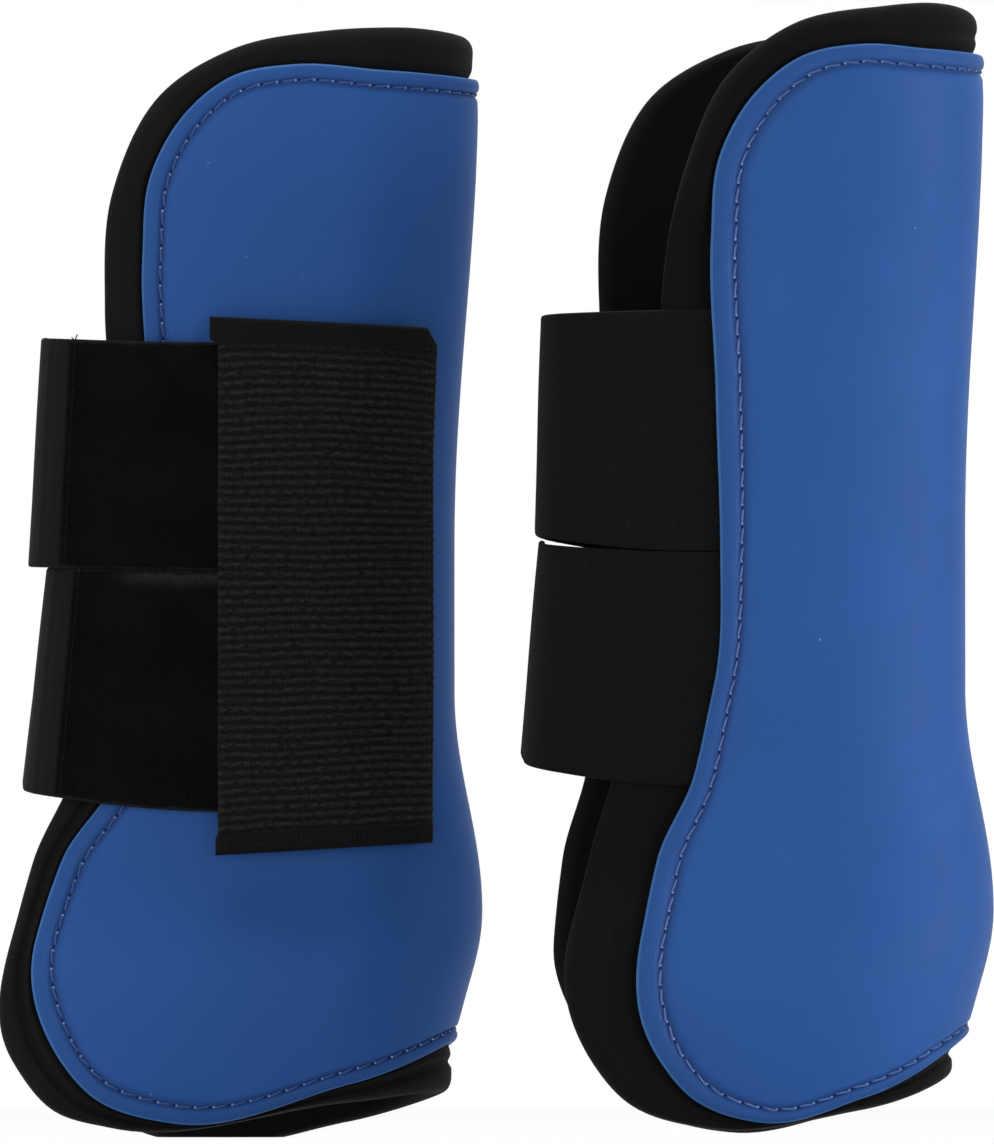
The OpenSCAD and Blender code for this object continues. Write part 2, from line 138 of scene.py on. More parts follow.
def centre_at(side, z):
    """Where the rounded back has its centre: the back line less the back's depth."""
    bulge = BULGE * hump((z - BULGE_Z) / np.where(z > BULGE_Z, BULGE_UP, BULGE_DOWN))
    lean = LEAN[side] * rise((z - LEAN_LOW) / (LEAN_TOP - LEAN_LOW))
    return lean + bulge - BACK_IN[side] - SHELL_H - BACK_DEPTH


def girth(side, x, z, h):
    """Girth of the point of the outer flap that is seen at x: straight, then an arc."""
    c = centre_at(side, z)
    arc = ARC * np.degrees(np.arccos(np.clip((x - c) / (BACK_DEPTH + h), -1, 1))) / 90
    return np.where(x <= c, ARC + c - x, arc)


def wrap(side, u, z, h):
    """The point at girth u, height z and distance h: x by an arc that runs straight on, and y by
    the longer ellipse that has the same back and the same width."""
    turn = np.pi / 2 * np.minimum(1, np.abs(u) / ARC)
    c = centre_at(side, z)
    x = c + (BACK_DEPTH + h) * np.cos(turn) - np.maximum(0, np.abs(u) - ARC)
    reach = np.clip((x - c + EASE_IN) / (BACK_DEPTH + EASE_IN + h), 0, 1)
    y = np.where(u > 0, -1, 1) * (half_at(z) + h) * np.sqrt(1 - reach**2)
    return np.stack(np.broadcast_arrays(x, y, np.maximum(0, z)), -1)


print("half width at the fetlock", half_at(FETLOCK_Z), "and at the top", half_at(FLAT_TOP + TOP_RUN))

# %% [markdown]
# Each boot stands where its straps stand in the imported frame, so both boots are read off the CAD
# boxes and nothing has to be placed by hand. The right boot is the left one mirrored across its own
# middle, which turns its faces inside out. They are turned round again when its mesh is made.

# %% Where each boot stands
STRAP_FRONT = 106.5
ROOT_FACE = 26.3
SIDES = ("left", "right")
FLIP = {"left": 1, "right": -1}


def boot_origin(side):
    """The boot's own zero in the frame, from the strap's front and the face of its root."""
    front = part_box(f"{side}_upper_strap_front")[0][0] / MM + STRAP_FRONT
    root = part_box(f"{side}_upper_strap_root")
    face = max(root[0][1] * FLIP[side], root[1][1] * FLIP[side]) / MM
    return np.array([front, FLIP[side] * (face - ROOT_FACE), 0])


ORIGIN = {side: boot_origin(side) for side in SIDES}


def place(points, side):
    """A boot's own millimetres to metres in the frame."""
    return (points * [1, FLIP[side], 1] + ORIGIN[side]) * MM


print({side: ORIGIN[side].round(2).tolist() for side in SIDES})

# %% [markdown]
# ## Meshes from arrays
# Every mesh here is closed, so its enclosed volume tells which way its faces point: a negative
# volume means inside out, and then each face is listed backwards.


# %% Mesh pieces
def volume(points, quads):
    """Six times the signed volume: the sum of triple products over both halves of each quad."""
    a, b, c, d = (points[quads[:, i]] for i in range(4))
    return np.sum(np.cross(a, b) * c) + np.sum(np.cross(a, c) * d)


def make_piece(name, points, quads, materials, sharp, uv=None, marks=None, which=None):
    """A mesh object at the origin from points in metres and an array of quads, smooth but for edges
    that are sharper than so many degrees."""
    if volume(points, quads) < 0:
        quads = quads[:, ::-1]
    mesh = bpy.data.meshes.new(name)
    mesh.from_pydata(points.tolist(), [], quads.tolist())
    for material in materials:
        mesh.materials.append(material)
    if which is not None:
        mesh.polygons.foreach_set("material_index", which.astype(np.int32))
    if uv is not None:
        layer = mesh.uv_layers.new(name="cloth")
        layer.data.foreach_set("uv", uv[quads.ravel()].astype(np.float32).ravel())
    for key, values in (marks or {}).items():
        mark = mesh.attributes.new(key, "FLOAT", "POINT")
        mark.data.foreach_set("value", values.astype(np.float32).ravel())
    mesh.polygons.foreach_set("use_smooth", np.ones(len(quads), bool))
    mesh.set_sharp_from_angle(angle=np.radians(sharp))
    mesh.update()
    piece = bpy.data.objects.new(name, mesh)
    bpy.context.collection.objects.link(piece)
    return piece


square = np.array([[0, 0, 1], [1, 0, 1], [1, 1, 1], [0, 1, 1]])
print("six times the volume of a pyramid on a unit square:", volume(square, np.array([[0, 1, 2, 3]])))

# %% [markdown]
# Most pieces of cloth are two grids, one for each face, sewn together round their rims. The quads
# are lists of point numbers, so they can be counted out without looking at the points at all.


# %% Grids and slabs
def grid_quads(rows, columns):
    """Quads of a grid of rows by columns points, numbered row by row."""
    ids = np.arange(rows * columns).reshape(rows, columns)
    corners = (ids[:-1, :-1], ids[1:, :-1], ids[1:, 1:], ids[:-1, 1:])
    return np.stack(corners, -1).reshape(-1, 4)


def slab(outer, inner):
    """A closed sheet: one grid for each face, and strips that join the two rims."""
    rows, columns = outer.shape[:2]
    count = rows * columns
    ids = np.arange(count).reshape(rows, columns)
    rim = np.concatenate([ids[0, :-1], ids[:-1, -1], ids[-1, :0:-1], ids[:0:-1, 0]])
    after = np.roll(rim, -1)
    faces = grid_quads(rows, columns)
    strip = np.stack([rim, after, after + count, rim + count], -1)
    points = np.concatenate([outer.reshape(-1, 3), inner.reshape(-1, 3)])
    return points, np.concatenate([faces, faces[:, ::-1] + count, strip])


print("quads of a grid of 3 by 4 points:", len(grid_quads(3, 4)))

# %% [markdown]
# ## Outlines
# Each flap's edge is a smooth curve through a few knots seen from the side: a round top corner,
# a waist, and a lobe that covers the fetlock. The curve is closed round the back of the boot.

# %% Knots of a flap
WAIST_Z, LOBE_Z = 146, 46


def flap_knots(top, waist, lobe, z_top, z_low, z_back, heel, crown=0.0, corner=1.0, toe=1.0,
               puff=0.0, flare=0.0, full=0.0, slim=0.0):
    """Knots of a flap's edge from the back's top to the heel, as x and height seen from the side.
    The top corner's knots grow with corner and the foot's with toe; the lobe's are shares of the
    way from waist to lobe."""
    d, r = lobe - waist, WAIST_Z - LOBE_Z
    return np.array([
        [0.42 * (38 * corner - top), (z_top + z_back) / 2 + crown],
        [38 * corner - top, z_top],
        [22.5 * corner - top, z_top - 3 * corner],
        [11 * corner - top - puff, z_top - 12 * corner + puff / 2],
        [2 * corner - top - 0.45 * puff + slim, z_top - 28 * corner],
        [-top, z_top - 48 * corner],
        [-(top + waist) / 2, WAIST_Z + 39],
        [-waist, WAIST_Z],
        [(0.93 - 0.4 * flare) * d - lobe, LOBE_Z + 0.67 * r],
        [(0.68 - flare) * d - lobe, LOBE_Z + 0.44 * r],
        [(0.23 - full) * d - lobe, LOBE_Z + 0.23 * r],
        [-lobe, LOBE_Z],
        [3.5 * toe**2 - lobe, z_low + 22 * toe],
        [16 * toe - lobe, z_low + 6 * toe],
        [36 * toe - lobe, z_low],
        [-26, z_low + heel],
    ])


def closed_knots(side, outer, inner, back_top, back_low):
    """Both flaps' knots as girth and height, in one ring over the back's top and bottom."""
    out = np.stack([girth(side, outer[:, 0], outer[:, 1], SHELL_H), outer[:, 1]], -1)
    inn = np.stack([-girth(side, inner[:, 0], inner[:, 1], SHELL_H), inner[:, 1]], -1)[::-1]
    return np.concatenate([[[0, back_top]], out, [[0, back_low]], inn])


print("the waist is at", WAIST_Z, "mm and the lobe at", LOBE_Z, "mm")

# %% [markdown]
# Blender's own curves would pass through these knots too. Here the curve is worked out as a chain
# of cubics instead, because the points along it have to be evenly spaced and as many on one side
# as on the side across from it: the grid that fills the outline later joins them in pairs.

# %% Curve through the knots
NU, NZ = 84, 132
SAMPLES = 600
# Numbers of the knots at the ends of the top, the inner front, the bottom and the outer front
SPANS = ((4, -4, NU), (30, 20, NZ), (20, 14, NU), (14, 4, NZ))


def slope(a, b, c):
    """Slope at the knot b: both spans' directions, of which the shorter span counts more."""
    p, q = (np.linalg.norm(v, axis=-1, keepdims=True) for v in (b - a, c - b))
    return ((b - a) * q / p + (c - b) * p / q) / (p + q)


def curve_at(k, t):
    """Smooth closed curve at knot number t: each span is the cubic that has its knots' slopes."""
    n = len(k)
    i = np.floor(t).astype(int)
    f = (t - i)[:, None]
    a, b, c, d = (k[(i + s) % n] for s in (-1, 0, 1, 2))
    span = np.linalg.norm(c - b, axis=-1, keepdims=True)
    start, end = span * slope(a, b, c), span * slope(b, c, d)
    return b + f * start + f**2 * (3 * (c - b) - 2 * start - end) + f**3 * (2 * (b - c) + start + end)


def stretch(k, t0, t1, n):
    """n points evenly spaced along the curve from knot t0 up to knot t1, which is left out."""
    t = np.linspace(t0, t1, SAMPLES)
    p = curve_at(k, t)
    run = np.concatenate([[0], np.cumsum(np.linalg.norm(np.diff(p, axis=0), axis=1))])
    return curve_at(k, np.interp(run[-1] * np.arange(n) / n, run, t))


def outline(k):
    """The edge as one ring of points: top, inner front, bottom, outer front."""
    return np.concatenate([stretch(k, *span) for span in SPANS])


def inset(ring, d):
    """The ring moved inward by d, square to its own direction."""
    t = np.roll(ring, -1, 0) - np.roll(ring, 1, 0)
    side = np.stack([-t[:, 1], t[:, 0]], -1) / np.linalg.norm(t, axis=1)[:, None]
    return ring + d * side


print("points round an edge", 2 * (NU + NZ))

# %% [markdown]
# The two boots of a soft pair are never quite alike, so each has its own stance: its lobe is
# tucked in, its top eased back, and its lining rounded at the toe, puffed or slimmed at the top
# corner, flared and filled at the lobe, tilted, and raised at its feet, heel and back. All sizes
# are how far an edge reaches forward, or its height.

# %% Edges of both boots
STANCE = {
    "left": dict(tuck=0, ease=0, toe=0.72, puff=(2.2, 2.2), slim=0, flare=0.10, full=0, tilt=0,
                 out=2.4, inn=-2.0, heel=6.1, back=24),
    "right": dict(tuck=9, ease=4, toe=1.25, puff=(2.8, 0), slim=2.6, flare=0.20, full=0.1, tilt=2.5,
                  out=1.4, inn=2.4, heel=4.9, back=25.4),
}
# Reach of the flaps at the top, the waist and the lobe
TOP_REACH, WAIST_REACH, LOBE_REACH = 78.5, 75.5, 106
INNER_SHELL_REACH = (64.5, 62.2, 82.5)
INNER_TOP_REACH, INNER_WAIST_REACH, INNER_LOBE_REACH = 75.5, 75.5, 100.5
MARGIN, LOBE_MARGIN = 9.5, 6.4
OUTER_SHELL = dict(z_top=269.5, z_low=3.4, heel=10.1)
INNER_SHELL = dict(z_top=271, z_low=3.8, heel=6.5, toe=0.9)
SHELL_BACK, LINING_BACK = 266.5, 277.5
LINING_TOP, LINING_HEEL, LINING_BACK_LOW = 278, 6.5, 11.5
ROUNDED = dict(crown=1.2, corner=1.45)


def boot_edges(side):
    """The shell's edge and the lining's edge of one boot: the same flaps, wider by a margin."""
    way = STANCE[side]
    lift, flare, slim = way["tilt"], way["flare"], way["slim"]
    puff, inner_puff = way["puff"]
    top, waist = TOP_REACH + way["ease"], WAIST_REACH + way["ease"] / 2
    lobe = LOBE_REACH - way["tuck"]
    shell_back, lining_back = SHELL_BACK + lift, LINING_BACK + lift
    outer_shell = flap_knots(top, waist, lobe, z_back=shell_back, **OUTER_SHELL)
    inner_shell = flap_knots(*INNER_SHELL_REACH, z_back=shell_back, **INNER_SHELL)
    shell = closed_knots(side, outer_shell, inner_shell, shell_back, way["back"])
    outer = flap_knots(
        top + MARGIN, waist + MARGIN, lobe + LOBE_MARGIN, LINING_TOP - lift, way["out"], lining_back,
        LINING_HEEL, toe=way["toe"], puff=puff, flare=flare, full=way["full"], **ROUNDED,
    )
    inner = flap_knots(
        INNER_TOP_REACH + 0.4 * slim, INNER_WAIST_REACH, INNER_LOBE_REACH, LINING_TOP + lift,
        way["inn"], lining_back, way["heel"], puff=inner_puff, flare=flare, slim=slim, **ROUNDED,
    )
    lining = closed_knots(side, outer, inner, lining_back, LINING_BACK_LOW + 1.3 * lift)
    return outline(shell), outline(lining)


EDGES = {side: boot_edges(side) for side in SIDES}
print("edge points", len(EDGES["left"][0]))

# %% [markdown]
# ## A layer of the boot
# Shell and lining are built alike. Rings of points run round inside the edge, close together
# where the profile bends, and a grid fills the middle. The grid is a Coons patch: it blends the
# four sides of the last ring, so it follows the outline without a pole or a seam.


# %% Grid inside an edge
def coons(ring):
    """Grid inside a ring: both ruled surfaces between opposite sides, less the corner blend."""
    n = len(ring)
    i, j = np.arange(NU + 1), np.arange(NZ + 1)
    s, t = (i / NU)[:, None, None], (j / NZ)[None, :, None]
    top, low = ring[i][:, None], ring[2 * NU + NZ - i][:, None]
    inn, out = ring[NU + NZ - j][None], ring[(2 * NU + NZ + j) % n][None]
    flat = (1 - t) * low + t * top + (1 - s) * out + s * inn
    low_mix = (1 - s) * low[:1] + s * low[-1:]
    top_mix = (1 - s) * top[:1] + s * top[-1:]
    return flat - (1 - t) * low_mix - t * top_mix


def middle(ring):
    """The grid's inner points, without the ring itself."""
    return coons(ring)[1:-1, 1:-1].reshape(-1, 2)


INSET_STEP = 0.5


def inset_rings(ring, depths, firm, share=1.0):
    """Rings at a share of the depths, moved in by small steps; past the firm depth each step also
    averages neighbours, so that tight corners don't fold over themselves."""
    rings, done = [], 0.0
    for depth in depths:
        steps = int(np.ceil((depth - done) / INSET_STEP))
        for _ in range(steps):
            ring = inset(ring, share * (depth - done) / steps)
            if depth > firm:
                ring = (np.roll(ring, 1, 0) + 2 * ring + np.roll(ring, -1, 0)) / 4
        done = depth
        rings.append(ring)
    return rings


print("points inside a ring", len(middle(EDGES["left"][0])))

# %% [markdown]
# A layer has an upper and a lower face with the same flat positions and different heights, and a
# strip of quads that joins their edges. Solidify would give an even thickness; two heights for
# each point also give the roll of the lining and the thin cut edge of the shell.


# %% Closed layers
def layer_quads(rings):
    """Quads of the rings' bands and of the grid, for one face of a layer."""
    n = 2 * (NU + NZ)
    a, k = np.meshgrid(np.arange(rings - 1), np.arange(n), indexing="ij")
    after = (k + 1) % n
    bands = np.stack([a * n + k, a * n + after, (a + 1) * n + after, (a + 1) * n + k], -1)
    base = (rings - 1) * n
    ids = np.zeros((NU + 1, NZ + 1), int)
    i, j = np.arange(NU + 1), np.arange(NZ + 1)
    ids[1:-1, 1:-1] = rings * n + np.arange((NU - 1) * (NZ - 1)).reshape(NU - 1, NZ - 1)
    ids[:, NZ] = base + i
    ids[NU, :] = base + NU + NZ - j
    ids[:, 0] = base + 2 * NU + NZ - i
    ids[0, :] = base + (2 * NU + NZ + j) % n
    cells = np.stack([ids[:-1, :-1], ids[:-1, 1:], ids[1:, 1:], ids[1:, :-1]], -1)
    return np.concatenate([bands.reshape(-1, 4), cells.reshape(-1, 4)])


def closed_layer(side, flat, upper, lower):
    """Points and quads of a layer whose two faces share the flat positions (u, z)."""
    n = 2 * (NU + NZ)
    rings = (len(flat) - (NU - 1) * (NZ - 1)) // n
    count = len(flat)
    face = layer_quads(rings)
    k = np.arange(n)
    after = (k + 1) % n
    rim = np.stack([after, k, count + k, count + after], -1)
    points = np.concatenate([
        wrap(side, flat[:, 0], flat[:, 1], upper), wrap(side, flat[:, 0], flat[:, 1], lower)
    ])
    return points, np.concatenate([face, rim, face[:, ::-1] + count])


def soft_wave(u, z, size, seed):
    """Slow unevenness between -1 and 1: three sine waves that cross each other."""
    a = np.sin((u + 0.6 * z) / size + seed)
    b = np.sin((0.7 * u - z) / (1.3 * size) + 2.1 * seed)
    c = np.sin((1.3 * u + 0.2 * z) / (0.6 * size) + 3.7 * seed)
    return (a + b + 0.5 * c) / 2.5


print("quads in a face of three rings:", len(layer_quads(3)))

# %% [markdown]
# ## Finishes
# All finishes are node materials. A small helper adds a node and sets its sockets, so that a
# finish reads as a list of what it does. Patterns that follow the cloth read the piece's own UV
# map, in units of 100 mm; the others read Object coordinates, in metres.

# %% Nodes
CLOTH_UNIT = 100


def finish_of(name, **sockets):
    """A new node material and its shader, with the constant sockets set on the shader itself."""
    material = bpy.data.materials.new(name)
    material.use_nodes = True
    shader = material.node_tree.nodes["Principled BSDF"]
    for key, value in sockets.items():
        shader.inputs[key.replace("_", " ")].default_value = value
    return material, shader


def node(material, kind, links=None, settings=None, **sockets):
    """A node of that kind: settings are its own properties, links join its inputs."""
    made = material.node_tree.nodes.new("ShaderNode" + kind)
    for key, value in (settings or {}).items():
        setattr(made, key, value)
    for key, value in sockets.items():
        made.inputs[key.replace("_", " ")].default_value = value
    for key, source in (links or {}).items():
        material.node_tree.links.new(source, made.inputs[key])
    return made


def coordinates(material, cloth):
    """The piece's UV map in hundreds of millimetres, or its Object coordinates in metres."""
    if cloth:
        return node(material, "UVMap", settings={"uv_map": "cloth"}).outputs[0]
    return node(material, "TexCoord").outputs["Object"]


def mark(material, name):
    """A value stored on the mesh's points."""
    return node(material, "Attribute", settings={"attribute_name": name}).outputs["Fac"]


def math(material, operation, a, b=0.0):
    """One sum on values or links."""
    made = node(material, "Math", settings={"operation": operation})
    for socket, value in zip(made.inputs, (a, b)):
        if isinstance(value, (int, float)):
            socket.default_value = value
        else:
            material.node_tree.links.new(value, socket)
    return made.outputs[0]


print("one unit of the cloth map is", CLOTH_UNIT, "mm")

# %% [markdown]
# Four patterns make up all the finishes: clouds, flecks, stripes, and clouds that are stretched
# along the threads. Each gives a plain value. Image textures would show more, but they blur close
# up and have to be drawn first.


# %% Patterns
def noise(material, where, scale, detail):
    """Cloudy values between 0 and 1."""
    made = node(material, "TexNoise", {"Vector": where}, Scale=scale, Detail=detail)
    return made.outputs[0]


def stretched(material, where, across, along):
    """Coordinates scaled differently in the cloth's two directions."""
    made = node(material, "VectorMath", {0: where}, {"operation": "MULTIPLY"})
    made.inputs[1].default_value = (across, along, 1)
    return made.outputs[0]


def flecks(material, where, scale, size, share):
    """1 in small dots at a few of the points of an uneven grid, else 0."""
    dots = node(material, "TexVoronoi", {"Vector": where}, Scale=scale)
    near = math(material, "LESS_THAN", dots.outputs["Distance"], size)
    chance = node(material, "SeparateColor", {"Color": dots.outputs["Color"]}).outputs[0]
    return math(material, "MULTIPLY", near, math(material, "LESS_THAN", chance, share))


def stripes(material, where, across, along=0.0):
    """A sine wave from -1 to 1 with so many waves per unit across and along."""
    turn = tuple(2 * np.pi * v for v in (across, along))
    dot = node(material, "VectorMath", {0: where}, {"operation": "DOT_PRODUCT"})
    dot.inputs[1].default_value = (*turn, 0)
    return math(material, "SINE", dot.outputs["Value"])


print("patterns:", [pattern.__name__ for pattern in (noise, flecks, stripes, stretched)])

# %% [markdown]
# A ramp spreads a pattern between two colours, and a plain colour is laid over it where a zone or a
# fleck is. Relief comes from the same patterns through a bump, so that colour and form agree, as
# they do on cloth, where the threads that stand up are also the ones that catch the light.


# %% Colours and relief
def ramp(material, factor, low, high, dark, light):
    """Colours from dark to light as the factor goes from low to high."""
    spread = node(material, "MapRange", {"Value": factor}, From_Min=low, From_Max=high)
    mix = node(material, "Mix", {"Factor": spread.outputs[0]}, {"data_type": "RGBA"})
    mix.inputs[6].default_value = (*dark, 1)
    mix.inputs[7].default_value = (*light, 1)
    return mix.outputs[2]


def over(material, factor, below, plain):
    """A plain colour laid over a linked one by a factor."""
    mix = node(material, "Mix", {"Factor": factor}, {"data_type": "RGBA"})
    material.node_tree.links.new(below, mix.inputs[6])
    mix.inputs[7].default_value = (*plain, 1)
    return mix.outputs[2]


def bump(material, shader, height, distance):
    """Raises the shading by a height, in metres at height 1."""
    made = node(material, "Bump", {"Height": height}, Strength=1.0, Distance=distance)
    material.node_tree.links.new(made.outputs[0], shader.inputs["Normal"])


def colour(material, shader, source):
    """Gives the shader a linked colour."""
    material.node_tree.links.new(source, shader.inputs["Base Color"])


def tint(share, plain):
    """A plain colour, lighter or darker by a share."""
    return tuple(share * np.array(plain))


print("half as light as white:", [float(v) for v in tint(0.5, (1, 1, 1))])

# %% [markdown]
# The shell is blue polyurethane with a satin face. Its rim is stretched thinner and looks
# lighter, the cut edge is painted light as a painted highlight, and the seam's groove is painted
# a little darker as painted shade. The mesh carries these three zones as point values, so the
# colours follow the outline exactly. The left boot's blue is painted lighter and the right's
# darker, as painted light and shade on one blue.

# %% Shell finish
# The rim's own tone, painted shade in the seam's groove, and a painted highlight on the cut edge
ZONES = (
    ("rim", 0.8, (0.0195, 0.0655, 0.214)),
    ("groove", 0.7, (0.0165, 0.0425, 0.153)),
    ("cut", 0.8, (0.0600, 0.1800, 0.420)),
)
FLECK_BLUE = (0.16, 0.24, 0.36)
BLUES = ((0.0190, 0.0690, 0.231), (0.0210, 0.0752, 0.252))
# Painted light and shade: the left boot's blue is painted lighter, the right's darker
SHELL_PAINTED_LIGHT = {"left": 1.07, "right": 0.95}


def shell_finish(side):
    """Satin blue: slow clouds of colour and gloss, a fine grain, the three zones, a few flecks."""
    blue, shader = finish_of(f"{side}_moulded_blue", IOR=1.14)
    spot = coordinates(blue, False)
    cloud = noise(blue, spot, 16, 3)
    grain = noise(blue, spot, 2600, 2)
    # Each boot's blue is scaled by its painted light and shade
    dark, light = (tint(SHELL_PAINTED_LIGHT[side], plain) for plain in BLUES)
    tone = ramp(blue, cloud, 0.3, 0.7, dark, light)
    # The groove's zone is painted shade and the cut edge's zone a painted highlight
    for zone, share, zone_colour in ZONES:
        part = math(blue, "MULTIPLY", mark(blue, zone), share)
        tone = over(blue, part, tone, tint(SHELL_PAINTED_LIGHT[side], zone_colour))
    tone = over(blue, flecks(blue, spot, 210, 0.05, 0.025), tone, FLECK_BLUE)
    colour(blue, shader, tone)
    rough = math(blue, "ADD", math(blue, "MULTIPLY", cloud, 0.08), 0.44)
    blue.node_tree.links.new(rough, shader.inputs["Roughness"])
    relief = math(blue, "ADD", grain, math(blue, "MULTIPLY", cloud, 2.0))
    bump(blue, shader, relief, 0.00006)
    return blue


SHELL_BLUE = {side: shell_finish(side) for side in SIDES}
print("made", [material.name for material in SHELL_BLUE.values()])

# %% [markdown]
# ## The shell
# The profile across the shell's edge does most of the work: a cut edge, a soft rim, the groove
# of the seam, and the swell over the foam core. Rings lie close together where it bends.

# %% Seam and profile
SEAM = 5.25
GROOVE = 0.75
GROOVE_INSIDE, GROOVE_OUTSIDE = 2.5, 1.3
EDGE_R, EDGE_DROP = 1.1, 1.25
RIM_RISE, PANEL_RISE, PANEL_RUN = 0.38, 0.22, 9
# Share of the seam's distance at the heel, the lobe, along level and low and high upright edges
SEAM_SHARE = {"left": (0.64, 0.93, 0.76, 0.88, 0.88), "right": (0.58, 1.08, 0.82, 0.86, 1.16)}
# Where the share starts to change, and over how far: from heel to lobe by girth, from the low to
# the high edge and from the foot to the front by height
HEEL_GIRTH, LOBE_RUN = 45, 50
LOW_Z, HIGH_RUN = 110, 70
FOOT_Z, FRONT_RUN = 55, 35


def seam_share(side):
    """Share of the seam's distance at each edge point: along the foot it goes by girth, from heel
    to lobe, and above the foot by how upright the edge runs there."""
    ring = EDGES[side][0]
    u, z = np.abs(ring[:, 0]), ring[:, 1]
    t = np.roll(ring, -1, 0) - np.roll(ring, 1, 0)
    upright = np.abs(t[:, 1]) / np.linalg.norm(t, axis=1)
    heel, lobe, level, low, high = SEAM_SHARE[side]
    foot = heel + (lobe - heel) * rise((u - HEEL_GIRTH) / LOBE_RUN)
    front = level + upright * (low - level + (high - low) * rise((z - LOW_Z) / HIGH_RUN))
    return (foot + (front - foot) * rise((z - FOOT_Z) / FRONT_RUN))[:, None]


def shell_height(s):
    """Height over the lining at s in from the edge: round edge, rim, groove, swollen panel."""
    edge = 1 - np.sqrt(1 - (1 - np.clip(s / EDGE_R, 0, 1)) ** 2)
    rim = RIM_RISE * hump((s - SEAM / 2) / (SEAM / 2))
    groove = GROOVE * hump((s - SEAM) / np.where(s > SEAM, GROOVE_INSIDE, GROOVE_OUTSIDE))
    panel = PANEL_RISE * rise((s - SEAM) / PANEL_RUN)
    return SHELL_H - EDGE_DROP * edge + rim - groove + panel


print("shell's height at the edge, rim and seam:", shell_height(np.array([0, SEAM / 2, SEAM])).round(2))

# %% [markdown]
# A real shell is pressed in a mould, with the seam's groove in it. Here the profile is carried
# round the edge on rings, and the panel inside gets a faint unevenness, as a thin skin over foam
# has. The same distances from the edge also give the colour zones.

# %% Moulded shells
RINGS = np.concatenate([
    [0, 0.12, 0.35, 0.7, 1.2, 1.8, 2.4, 3.1, 3.7],
    SEAM + np.array([-1.1, -0.7, -0.35, 0, 0.3, 0.6, 1.0, 1.6, 2.5, 4.0, 6.0, 8.0]),
])
# Height and length of the panel's unevenness, and how far from the seam it is in full
WAVE, WAVE_SIZE, WAVE_RUN = 0.1, 17, 8
UNDERCUT = 0.2
# Over how far the colour zones fade out
RIM_FADE, GROOVE_FADE, CUT_FADE = 1.4, 2.2, 0.5


def make_shell(side):
    """The shell: the profile carried round the edge, and a slightly uneven panel inside it."""
    edge = EDGES[side][0]
    rings = inset_rings(edge, RINGS, 1.3 * SEAM, seam_share(side))
    flat = np.concatenate([*rings, middle(rings[-1])])
    n = len(edge)
    s = np.full(len(flat), RINGS[-1])
    s[: n * len(RINGS)] = np.repeat(RINGS, n)
    uneven = WAVE * soft_wave(flat[:, 0], flat[:, 1], WAVE_SIZE, 1.3 + FLIP[side])
    upper = shell_height(s) + uneven * rise((s - SEAM) / WAVE_RUN)
    lower = CORE_T - UNDERCUT * (s == 0)
    points, quads = closed_layer(side, flat, upper, lower)
    # Zones of the colours: the groove marks painted shade, the cut edge a painted highlight
    zones = {
        "rim": 1 - rise((s - SEAM + GROOVE_OUTSIDE) / RIM_FADE),
        "groove": hump((s - SEAM - 0.3) / GROOVE_FADE),
        "cut": 1 - rise((s - 0.2) / CUT_FADE),
    }
    zones = {key: np.tile(value, 2) for key, value in zones.items()}
    piece = make_piece(
        f"{side}_moulded_shell", place(points, side), quads, [SHELL_BLUE[side]], marks=zones, sharp=60
    )
    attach(piece, "boot_pair")
    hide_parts(f"{side}_shell", f"{side}_core")
    return piece


for side in SIDES:
    print(make_shell(side).name)

# %% [markdown]
# ## The lining
# The lining is soft neoprene with a knitted face. It stands out past the shell as a rounded
# roll. A cloth simulation would swell a thin foam sheet into a cushion, so the roll is drawn
# directly: a half round at the edge, a crease where its binding is sewn, and a second soft
# band that dips where the shell holds it down. The left boot's lining is painted lighter and
# the right's darker, as painted light and shade on one knit.

# %% Lining finish
# Painted light and shade: the left lining is painted lighter, the right darker
LINING_PAINTED_LIGHT = {"left": 1.35, "right": 0.48}
KNIT_BLACK, KNIT_GREY = (0.0033, 0.003201, 0.0033), (0.0056, 0.005432, 0.0056)


def lining_finish(side):
    """Black knit over foam: fine loops as bump, slow clouds of colour, a faint sheen."""
    neoprene, shader = finish_of(
        f"{side}_knitted_neoprene", Roughness=0.8, Specular_IOR_Level=0.06,
        Sheen_Weight=0.016, Sheen_Roughness=0.5,
    )
    spot = coordinates(neoprene, False)
    knit = noise(neoprene, spot, 1500, 2)
    cloud = noise(neoprene, spot, 28, 3)
    # Each boot's knit is scaled by its painted light and shade
    dark, light = (tint(LINING_PAINTED_LIGHT[side], plain) for plain in (KNIT_BLACK, KNIT_GREY))
    colour(neoprene, shader, ramp(neoprene, cloud, 0.3, 0.7, dark, light))
    relief = math(neoprene, "ADD", knit, math(neoprene, "MULTIPLY", cloud, 3))
    bump(neoprene, shader, relief, 0.00016)
    return neoprene


NEOPRENE = {side: lining_finish(side) for side in SIDES}
print("made", [material.name for material in NEOPRENE.values()])

# %% [markdown]
# Rings of points lead from the lining's edge over the roll to the shell and a little below it.
# The roll takes a fixed width, or a share of the margin where that is narrow, and the rest of the
# rings are spread over what is left.

# %% Rings of the lining
ROLL, ROLL_SHARE = 4.2, 0.6
TURNS = np.radians([0, 10, 21, 32, 44, 56, 68, 79, 90])
FLATS = np.array([0.06, 0.13, 0.2, 0.27, 0.34, 0.42, 0.5, 0.58, 0.66, 0.75, 0.84, 0.93, 1.0])
UNDER = np.array([2.25, 4.5, 8])


